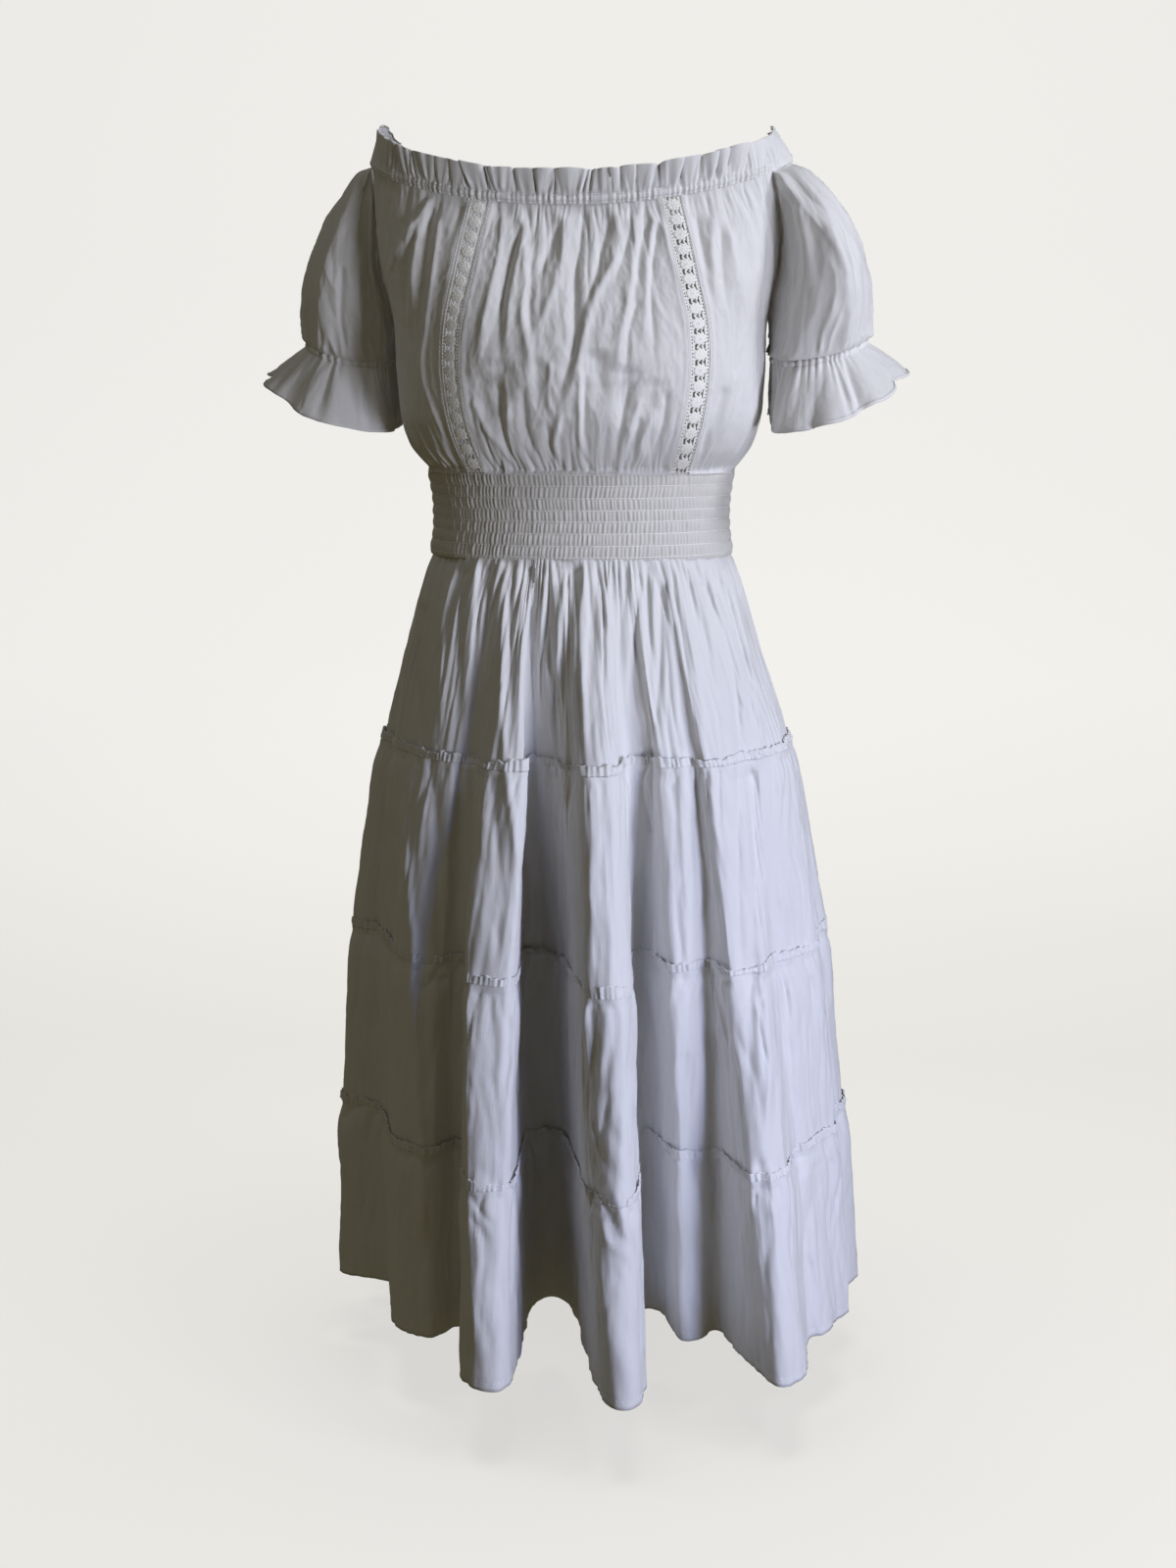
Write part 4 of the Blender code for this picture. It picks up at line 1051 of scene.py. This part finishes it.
def build_tier(tier, front_step, back_step, row_step, material):
    """A gathered tier; gives the stitch line of the lowest one's hem."""
    counts = column_counts(tier + 1, front_step, back_step)
    length = SEAM_LEVELS[tier] - SEAM_LEVELS[tier + 1]
    drops = np.concatenate([np.arange(0.0, 0.030, 0.0018), np.linspace(0.030, length, round((length - 0.030) / row_step))])
    if tier == 0:
        drops = np.concatenate([[-0.0024], drops])
    if tier < 3:
        drops = np.concatenate([drops, [length + 0.0015]])
    form = tier_form(tier, counts, drops)
    below = drops[::-1][:, None]
    above = length - below
    place = lengths_along(form[:2], 1)
    around = place[-1] + place[-1] - place[-2]
    seed = 300 + 20 * tier
    fine, fine_depth, long, long_depth, long_reach, least = TIER_GATHERS[tier]
    relief = fine_depth * fade(below, 0.014) * drawn_up(seed, place, below, fine, 0.036, around)
    strength = least + (1 - least) * fade(below, long_reach)
    relief += long_depth * strength * drawn_up(seed + 2, place, below, long, 0.9 * long_reach + 0.03, around)
    relief += 0.0022 * wrinkle(seed + 4, place, below, 0.040, 0.22, around) * eased(below / 0.04)
    relief += 0.0011 * drawn_up(seed + 6, place, below, 0.0085, 0.110, around) * eased(below / 0.02)
    relief += crumple(seed + 8, place, below, 0.0004, 0.010, around)
    relief *= 0.45 + 0.55 * eased(below / 0.005) if tier == 0 else 0.25 + 0.75 * eased(below / 0.007)
    relief = np.maximum(relief, -DEEPEST_VALLEY * eased(0.45 + below / 0.06))
    if tier < 3:
        relief += 0.0012 * fade(above, 0.007) * drawn_up(seed + 8, place, above, 0.0075, 0.03, around)
        relief = np.where(above < 0, -0.0009, relief)
    if tier == 0:
        relief = np.where(below < 0, -0.0012, relief)
    if tier == 3:
        relief -= 0.0004 * np.exp(-(((above - HEM_STITCH) / 0.0015) ** 2))
    points = laid_forward(untangled(raised(form, relief, True), form))
    if tier == 3:
        inward = -normals_of(points, True)
        points = np.concatenate([[points[3] + inward[3] * 0.0010, points[0] + inward[0] * 0.0008], points])
    node = f"tier_{tier + 1}"
    split_pieces(points, side_columns(form[-1]), material, (node + "_front", node + "_back"))
    if tier < 3:
        return None
    row = 2 + int(np.argmin(np.abs(above[:, 0] - HEM_STITCH)))
    closed = np.concatenate([points, points[:, :1]], axis=1)
    return closed[row], normals_of(closed)[row]


def build_heading(tier, material):
    """The low frayed-looking heading of a tier's own gathered top, lying up over the tier above; gives its stitch line."""
    counts = column_counts(tier, 0.0012, 0.0026)
    foot = smooth_ring(fold_corners(SEAM_LEVELS[tier]), counts)
    place = np.concatenate([[0], np.cumsum(np.linalg.norm(np.diff(foot, axis=0), axis=1))])
    around = place[-1] + place[-1] - place[-2]
    seed = 307 + 20 * tier
    flat = 0.0 * place
    wave, _ = uneven_wave(seed, place, 0.0100, 0.6, (0.4, 1.7), (0.2, 1.2))
    ripple, _ = uneven_wave(seed + 1, place, 0.0042, 0.7, (0.5, 1.6), (0.3, 1.3))
    tall = 0.60 + 0.42 * wrinkle(seed + 3, place, flat, 0.048, 1.0, around) + 0.20 * wrinkle(seed + 2, place, flat, 0.0065, 1.0, around)
    tall = np.clip(tall, 0.22, 1.10)
    lift = np.clip(0.5 + 0.6 * wrinkle(seed + 4, place, flat, 0.026, 1.0, around), 0, 1.2)
    rows = []
    for up in (0.0, 0.2, 0.4, 0.6, 0.8, 1.0, 1.0):
        ring = smooth_ring(fold_corners(SEAM_LEVELS[tier] + FRILL_HEIGHT * up), counts)
        turn = np.arctan2(ring[:, 0], -ring[:, 1])
        out = 0.0006 + (FRILL_TOP_OUT - 0.0006) * up * lift + 0.0008 * up * wave + 0.0012 * ripple * (1.1 - 0.2 * up)
        if len(rows) == 6:
            out = out - 0.0006
        ring = moved_out(ring, np.maximum(out, 0.0003))
        rows.append(points_of(ring[:, 0], ring[:, 1], seam_height(turn, tier) + FRILL_HEIGHT * up * tall))
    heading = laid_forward(np.array(rows))
    node = f"seam_frill_{tier}"
    split_pieces(heading, side_columns(foot), material, (node + "_front", node + "_back"))
    closed = np.concatenate([heading, heading[:, :1]], axis=1)
    return closed[1] + normals_of(closed)[1] * 0.0002, normals_of(closed)[1]


def build_skirt(material, thread):
    runs = []
    for tier, steps in enumerate(TIER_STEPS):
        hem = build_tier(tier, *steps, material)
        if tier:
            runs.append(build_heading(tier, material))
        if hem:
            runs.append(hem)
    thread_piece("seam_stitching", runs, thread, stitch=0.0030, gap=0.0022, thick=0.0005)


# Studio


FLOOR = -0.80


def backdrop(material):
    """A pale sweep: floor, a wide soft bend and a wall."""
    profile = [(-4.0, FLOOR)]
    for step in range(13):
        angle = math.pi / 2 * step / 12
        profile.append((1.6 + 1.2 * math.sin(angle), FLOOR + 1.2 * (1 - math.cos(angle))))
    profile.append((2.8, 4.0))
    points = np.array([[(x, y, z) for x in (-5.0, 5.0)] for y, z in profile])
    sweep = new_mesh("backdrop", points, grid_quads(len(profile), 2, False), material)
    return sweep


def soft_light(name, place, target, size, power, colour, beam=None):
    """A round soft light, or a soft-edged beam of the given angle in degrees."""
    data = bpy.data.lights.new(name, "SPOT" if beam else "AREA")
    if beam:
        data.spot_size = math.radians(beam)
        data.spot_blend = 1.0
        data.shadow_soft_size = size / 2
    else:
        data.shape = "DISK"
        data.size = size
    data.energy = power
    data.color = colour
    lamp = bpy.data.objects.new(name, data)
    lamp.location = place
    way = np.array(target) - np.array(place)
    flat = math.hypot(way[0], way[1])
    lamp.rotation_euler = (math.atan2(flat, -way[2]), 0, math.atan2(way[1], way[0]) - math.pi / 2)
    bpy.context.scene.collection.objects.link(lamp)
    return lamp


def build_studio():
    scene = bpy.context.scene
    paper = bpy.data.materials.new("backdrop_paper")
    paper.use_nodes = True
    shader = paper.node_tree.nodes["Principled BSDF"]
    shader.inputs["Base Color"].default_value = linear("#63615c")
    shader.inputs["Roughness"].default_value = 1.0
    shader.inputs["Specular IOR Level"].default_value = 0.0
    shader.inputs["Emission Color"].default_value = linear("#ecebe8")
    tree = paper.node_tree
    spot = add_node(tree, "ShaderNodeNewGeometry")
    parts = add_node(tree, "ShaderNodeSeparateXYZ", links=[(spot.outputs["Position"], "Vector")])
    glow = add_node(tree, "ShaderNodeMapRange", {"From Min": 0.9, "From Max": 2.4, "To Min": 0.76, "To Max": 0.93}, [(parts.outputs["Y"], "Value")])
    tree.links.new(glow.outputs[0], shader.inputs["Emission Strength"])
    sweep = backdrop(paper)
    sweep.visible_diffuse = False
    sweep.visible_glossy = False
    middle = (0.0, 0.0, -0.25)
    soft_light("window_light", (1.27, -1.27, -0.24), (0.0, 0.0, -0.40), 0.45, 18.0, (0.81, 0.84, 1.0))
    soft_light("window_top", (1.24, -0.62, 1.16), (0.0, 0.0, 0.0), 0.45, 14.5, (0.85, 0.88, 1.0))
    soft_light("window_foot", (2.23, -2.47, 0.46), (0.15, 0.0, -0.65), 0.5, 80.0, (0.10, 0.25, 1.0), 24.0)
    soft_light("sky_fill", (-0.84, -1.00, 2.00), middle, 1.0, 3.8, (0.85, 0.88, 1.0))
    floor_light = soft_light("floor_light", (0.0, 0.0, 2.2), (0.0, 0.001, -0.8), 1.6, 110.0, (1.0, 0.99, 0.97))
    floor_only = bpy.data.collections.new("backdrop_only")
    floor_only.objects.link(sweep)
    floor_light.light_linking.receiver_collection = floor_only
    back_fill = soft_light("back_fill", (-0.7, 2.0, 0.6), middle, 1.4, 9.0, (1.0, 0.97, 0.92))
    back_fill.visible_camera = False
    world = bpy.data.worlds.new("room")
    world.use_nodes = True
    world.node_tree.nodes["Background"].inputs["Color"].default_value = (1.0, 0.88, 0.50, 1.0)
    world.node_tree.nodes["Background"].inputs["Strength"].default_value = 0.080
    scene.world = world
    scene.view_settings.view_transform = "Standard"
    data = bpy.data.cameras.new("camera")
    data.lens = 46.17
    data.shift_x = 0.0044
    camera = bpy.data.objects.new("camera", data)
    camera.location = (0.157, -1.793, 0.103)
    camera.rotation_euler = (math.radians(90 - 11.03), 0, math.radians(5))
    scene.collection.objects.link(camera)
    scene.camera = camera


# Main folds of the front, listed: depth, half width, then x and z down the fold, in millimetres


CENTRE_FOLDS = (
    (-3.6, 4.2, 12, 260, 9, 225, 5, 200, 5.5, 168, 6, 145, 4, 132, -4, 107, -7, 94),
    (-2.2, 3.0, 32, 239, 25, 212, 18, 183, 13, 172),
    (-1.8, 2.6, 49, 231, 44, 212, 40, 197),
    (-2.2, 3.0, 64, 239, 58, 220, 56, 199, 53, 174),
    (-2.2, 3.0, 56, 174, 51, 157, 49, 115),
    (-3.0, 3.0, 71, 233, 68, 208, 67.5, 174, 70, 145, 70.5, 124),
    (-3.4, 4.0, -41, 235, -47, 212, -53, 187, -55.5, 164, -56.4, 141, -55.5, 126),
    (-2.4, 3.2, -31, 204, -31, 174, -32, 145),
    (-2.8, 4.4, -9, 237, -17.5, 214, -26, 193),
    (-2.4, 3.2, -16.5, 120, -18.6, 94),
    (-2.6, 6.5, -24, 126, -23, 88),
    (-4.5, (10, 12), -72, 113, -70, 74),
    (-3.5, (7, 9), -54, 124, -55, 86),
    (-4.5, (9, 11), 26, 132, 28, 92),
    (-4.0, (8, 12), 46, 120, 44, 78),
    (-2.5, 9, 70, 110, 66, 78),
    (-2.4, 3.0, 14, 110, 15, 60, 19, 42),
    (-3.0, 3.6, 51, 107, 48, 94, 43, 73, 39, 52, 38, 42),
    (-2.2, 3.0, 59, 78, 55, 61, 53, 44),
    (-2.6, 3.4, 81, 99, 79, 80, 72, 57, 68, 42),
    (-2.6, 3.4, -60, 107, -57, 84, -54, 61, -51, 44),
    (-2.6, 3.4, -37, 103, -35, 73, -28, 52, -22, 42),
    (-2.2, 3.0, -17.5, 73, -15, 52, -12, 42),
    (2.6, 4.2, 38, 208, 25, 185, 17, 164, 13, 145, 8, 120, -5, 88),
    (2.0, 5.0, 40, 245, 38, 220, 33, 200),
    (2.2, 3.8, 52, 241, 53, 210, 49, 174, 41, 128, 42, 115),
    (1.8, 3.6, 68, 241, 65, 210, 64, 178, 61, 136),
    (2.0, 3.6, 76, 237, 85, 208, 96, 178, 99, 162),
    (2.0, 3.6, -38, 237, -43, 208, -47, 178, -49.6, 145, -50.6, 128),
    (2.4, 3.8, -36, 218, -35, 193, -37, 170, -33.5, 145, -31, 128, -32, 107),
    (2.2, 4.0, -4, 241, -6, 210, -15, 174, -27, 145),
    (2.2, 4.0, -55, 241, -60, 210, -66, 178, -70, 153, -73, 128, -74, 115),
    (2.2, 3.2, -14, 124, -16, 94, -12, 86),
    (2.4, 2.8, 11, 117, 9, 42),
    (2.0, 3.4, 59, 94, 53, 80, 47, 61, 42, 42),
    (2.0, 3.4, 70, 84, 59, 61, 57, 42),
    (2.0, 3.4, -79.5, 94, -71, 76, -60, 61, -54, 42),
    (2.0, 3.4, -53, 115, -50, 84, -48.5, 61, -46, 44),
    (2.0, 3.4, -5, 84, -11, 63, -9, 44),
)
LEFT_FOLDS = (
    (-2.8, 3.2, 104, 241, 108.5, 220, 113, 199),
    (-2.8, 3.4, 123, 235, 126, 199, 130, 170),
    (-2.4, 3.6, 126, 103, 121, 84, 113, 63, 108.5, 42),
    (2.2, 3.6, 115, 241, 117, 199, 120, 178),
    (2.4, 4.0, 130, 231, 138, 193, 143, 157, 141, 136),
    (2.2, 3.8, 134, 115, 128, 82, 119, 61),
)
RIGHT_FOLDS = (
    (-3.0, 3.4, -117, 250, -123, 205, -126.5, 172, -129, 152),
    (-2.8, 3.6, -132, 230, -140, 200, -142, 170),
    (2.6, 3.6, -118, 260, -128, 230, -132.5, 200, -134, 162),
    (2.4, 3.2, -121, 254, -134, 235, -147, 207),
    (2.0, 3.2, -134, 240, -148, 218, -158, 203),
    (1.6, 2.2, -110, 240, -115, 200, -118, 180, -123, 145, -126, 126, -123, 107, -113, 80, -105, 62),
)
SLEEVE_FOLDS = {
    "left": (
        (-2.6, 5.0, 186, 250, 196, 215, 200, 175),
        (2.4, 5.0, 178, 262, 184, 222, 186, 180),
        (-2.4, 4.5, 212, 235, 224, 200, 228, 165),
    ),
    "right": (
        (2.4, 2.4, -203, 205, -205, 150, -200, 132),
        (-2.6, 4.0, -190, 215, -192, 170, -188, 140),
        (-2.2, 3.6, -178, 205, -176, 170, -170, 140),
        (2.2, 5.0, -164, 248, -170, 225, -176, 196),
    ),
}
SKIRT_FOLDS_LAID = (
    (8.0, (4, 13), -88, -210, -87, -261, -89, -313, -92, -366, -86, -397, -82, -436, -81, -485, -79, -533, -78, -561, -77, -623, -77, -703),
    (3.2, 4.2, -56, -45, -59, -93, -57, -140, -52, -196, -45, -235, -39, -274, -35, -324, -37, -386, -40, -441, -44, -504, -38, -552, -40, -620, -41, -692),
    (7.0, (5, 14), 17, -208, 20, -255, 21, -294, 21, -362, 19, -429, 18, -481, 20, -541, 23, -568, 28, -624, 39, -693),
    (2.4, 7.0, 38, -208, 42, -293, 45, -359, 49, -450, 53, -524, 60, -615),
    (3.4, 4.8, 95, -199, 98, -265, 100, -308, 103, -376, 103, -411),
    (-3.0, 8.0, 102, -464, 103, -571, 104, -664),
    (5.0, 6.0, -154, -83, -157, -147, -158, -214, -149, -277, -143, -318, -138, -367, -136, -419, -135, -471, -130, -539, -129, -642),
    (-4.4, 5.5, -137, -84, -139, -142, -130, -209),
    (-5.0, 8.0, -120, -208, -114, -278, -113, -365, -111, -412),
    (-4.5, 5.5, -111, -399, -109, -490, -106, -566, -104, -622),
    (-4.4, 4.4, -35, -46, -34, -93, -33, -143, -30, -199, -28, -253, -29, -290, -28, -335, -25, -409),
    (-4.8, 5.5, 2, -45, 0, -91, 0, -139, 5, -196, 3, -244, 0, -304, -6, -399),
    (-3.6, 3.8, 75, -60, 76, -125, 73, -169, 70, -203),
    (-7.5, 5.0, 71, -198, 70, -260, 64, -316, 57, -396),
    (-4.8, 4.2, 112, -61, 126, -92, 135, -121, 141, -162, 144, -205, 144, -272, 147, -355, 150, -396),
    (-7.5, (15, 7.0), 156, -220, 158, -292, 158, -370, 157, -405, 157, -453, 157, -515),
    (3.0, 3.4, 140, -75, 153, -131, 162, -185, 162, -215, 165, -271, 169, -336, 170, -392, 174, -473, 172, -535),
    (-3.8, 5.5, -164, -139, -168, -212, -180, -300, -187, -374, -182, -425, -179, -497, -171, -569, -160, -670),
    (-3.4, 4.2, -94, -50, -95, -95, -96, -144, -100, -194),
    (-2.4, 3.0, -70, -45, -72, -78, -77, -127, -81, -173),
    (-3.2, 3.2, 22, -45, 21, -91, 21, -147),
    (-2.0, 3.0, -17, -60, -21, -100, -25, -127),
    (-2.4, 1.8, 45, -45, 45, -89),
    (-3.2, 3.2, 57, -52, 56, -92, 55, -142, 61, -179),
    (-2.8, 2.2, 64, -46, 65, -84, 70, -133),
    (-2.0, 2.0, 86, -51, 91, -92),
    (-3.4, 3.0, 94, -46, 103, -74, 113, -102, 120, -134, 127, -156),
    (-2.6, 3.6, 125, -58, 140, -97, 150, -139, 155, -196),
    (-2.0, 2.2, -54, -60, -49, -108, -49, -168),
    (2.8, 4.0, -103, -49, -113, -76, -113, -129, -114, -183),
    (2.4, 2.8, -83, -44, -84, -78, -87, -136, -91, -198),
    (2.2, 2.8, -40, -70, -41, -123, -40, -187),
    (2.2, 3.0, -25, -51, -24, -92, -19, -133, -16, -183),
    (2.4, 3.4, -6, -59, -10, -108, -15, -158),
    (2.4, 3.6, 12, -49, 9, -91, 13, -138, 17, -165),
    (2.2, 3.0, 33, -47, 32, -67, 35, -98),
    (2.6, 8.0, 35, -75, 40, -139, 43, -192),
    (2.0, 3.0, 50, -60, 49, -125, 50, -199),
    (1.6, 2.0, 70, -52, 71, -100, 74, -125),
    (2.4, 3.2, 82, -60, 85, -109, 90, -158, 95, -199),
    (2.4, 2.4, 101, -93, 108, -134, 113, -174, 118, -201),
    (2.0, 2.6, 106, -58, 119, -95, 128, -127, 133, -148),
    (2.4, 2.8, 122, -73, 134, -109, 145, -146, 150, -195),
    (-2.8, 4.4, -60, -217, -58, -251, -54, -283, -52, -303, -54, -340, -58, -368),
    (-2.6, 2.4, 16, -256, 22, -294, 28, -333, 33, -363),
    (-3.0, 4.6, 109, -223, 113, -266, 119, -309, 124, -365),
    (-2.0, 1.8, 127, -213, 129, -263),
    (2.2, 2.4, -21, -209, -22, -253, -24, -280),
    (2.6, 2.4, 14, -253, 20, -286, 26, -317, 31, -352),
    (2.2, 2.4, 121, -214, 125, -255, 132, -288),
    (2.4, 7.0, 183, -233, 188, -300, 191, -361),
    (1.8, 3.0, -172, -330, -164, -365, -158, -375),
    (-2.8, 2.6, -41, -381, -43, -413, -45, -455, -47, -491),
    (-2.2, 2.6, 27, -397, 29, -439, 27, -464),
    (-3.2, 3.0, 122, -383, 132, -416, 139, -447, 145, -490),
    (-3.0, 4.0, 128, -449, 129, -504, 129, -549),
    (-2.4, 2.8, 175, -394, 181, -438, 189, -476),
    (-2.0, 2.4, 186, -406, 192, -437),
    (-2.4, 3.0, 211, -410, 217, -464, 222, -528),
    (-2.6, 2.4, 12, -504, 24, -513, 36, -537),
    (-2.2, 2.0, 29, -494, 40, -527),
    (-1.8, 2.2, 43, -467, 38, -492, 33, -514),
    (3.4, 4.2, 22, -391, 15, -433, 17, -481, 13, -516),
    (2.2, 3.4, 40, -395, 38, -427, 32, -457),
    (2.4, 3.4, 53, -383, 55, -451, 56, -526),
    (2.2, 2.2, 90, -397, 84, -429, 78, -456),
    (3.2, 3.0, 165, -415, 170, -440, 177, -470, 172, -495),
    (2.4, 4.0, 193, -412, 197, -464, 198, -508, 193, -535),
    (-2.6, 2.2, -82, -561, -81, -617, -80, -664),
    (-2.0, 1.8, -53, -552, -52, -580),
    (-1.8, 2.0, -76, -563, -67, -574, -58, -585),
    (-1.6, 2.0, -74, -581, -67, -591, -61, -598),
    (-4.4, 4.0, 29, -550, 30, -589, 28, -624),
    (-2.6, 2.4, 35, -553, 48, -572, 63, -598),
    (-2.0, 2.6, 23, -631, 35, -654, 45, -693),
    (-2.4, 2.6, 7, -585, -4, -655, -1, -689),
    (-3.2, 2.4, 130, -565, 128, -612),
    (-4.2, 4.4, 168, -542, 170, -576, 173, -603, 174, -652),
    (-2.8, 3.0, 218, -576, 224, -616, 232, -665),
    (-2.4, 2.6, 232, -579, 238, -633),
    (-2.2, 2.4, 95, -568, 92, -595),
    (-2.2, 2.4, 113, -561, 118, -575),
    (-2.2, 3.0, 214, -662, 223, -699, 232, -733),
    (2.6, 3.4, 20, -570, 12, -621, 9, -659),
    (2.4, 3.4, 35, -568, 43, -585, 56, -601),
    (2.6, 2.8, 58, -544, 66, -579, 68, -636),
    (2.4, 2.6, 48, -545, 56, -565, 63, -585),
    (3.0, 2.0, 177, -549, 179, -576, 183, -604),
    (2.2, 2.6, 160, -545, 159, -589, 154, -620),
    (2.4, 4.0, 208, -579, 206, -632, 199, -663),
)


def main():
    lawn = cotton_lawn("cotton_lawn", "#e4e3e1", "#dad9d8", 0.35)
    # The smocked cloth's darker, warmer base colour is painted shade: it stands in for the shade between its small
    # puckers.
    smocked = cotton_lawn("smocked_lawn_painted_shade", "#dbd9d3", "#cecbc5", 0.30)
    crochet = cotton_lawn("crochet_cotton", "#f8f7f2", "#eeece5", 0.4)
    thread = plain_finish("white_thread", "#f7f6f3", 0.6)
    build_bodice(lawn, thread)
    build_lace(crochet)
    build_neck(lawn, thread)
    build_sleeves(lawn, thread)
    build_waist(smocked, thread)
    build_skirt(lawn, thread)
    build_studio()


main()
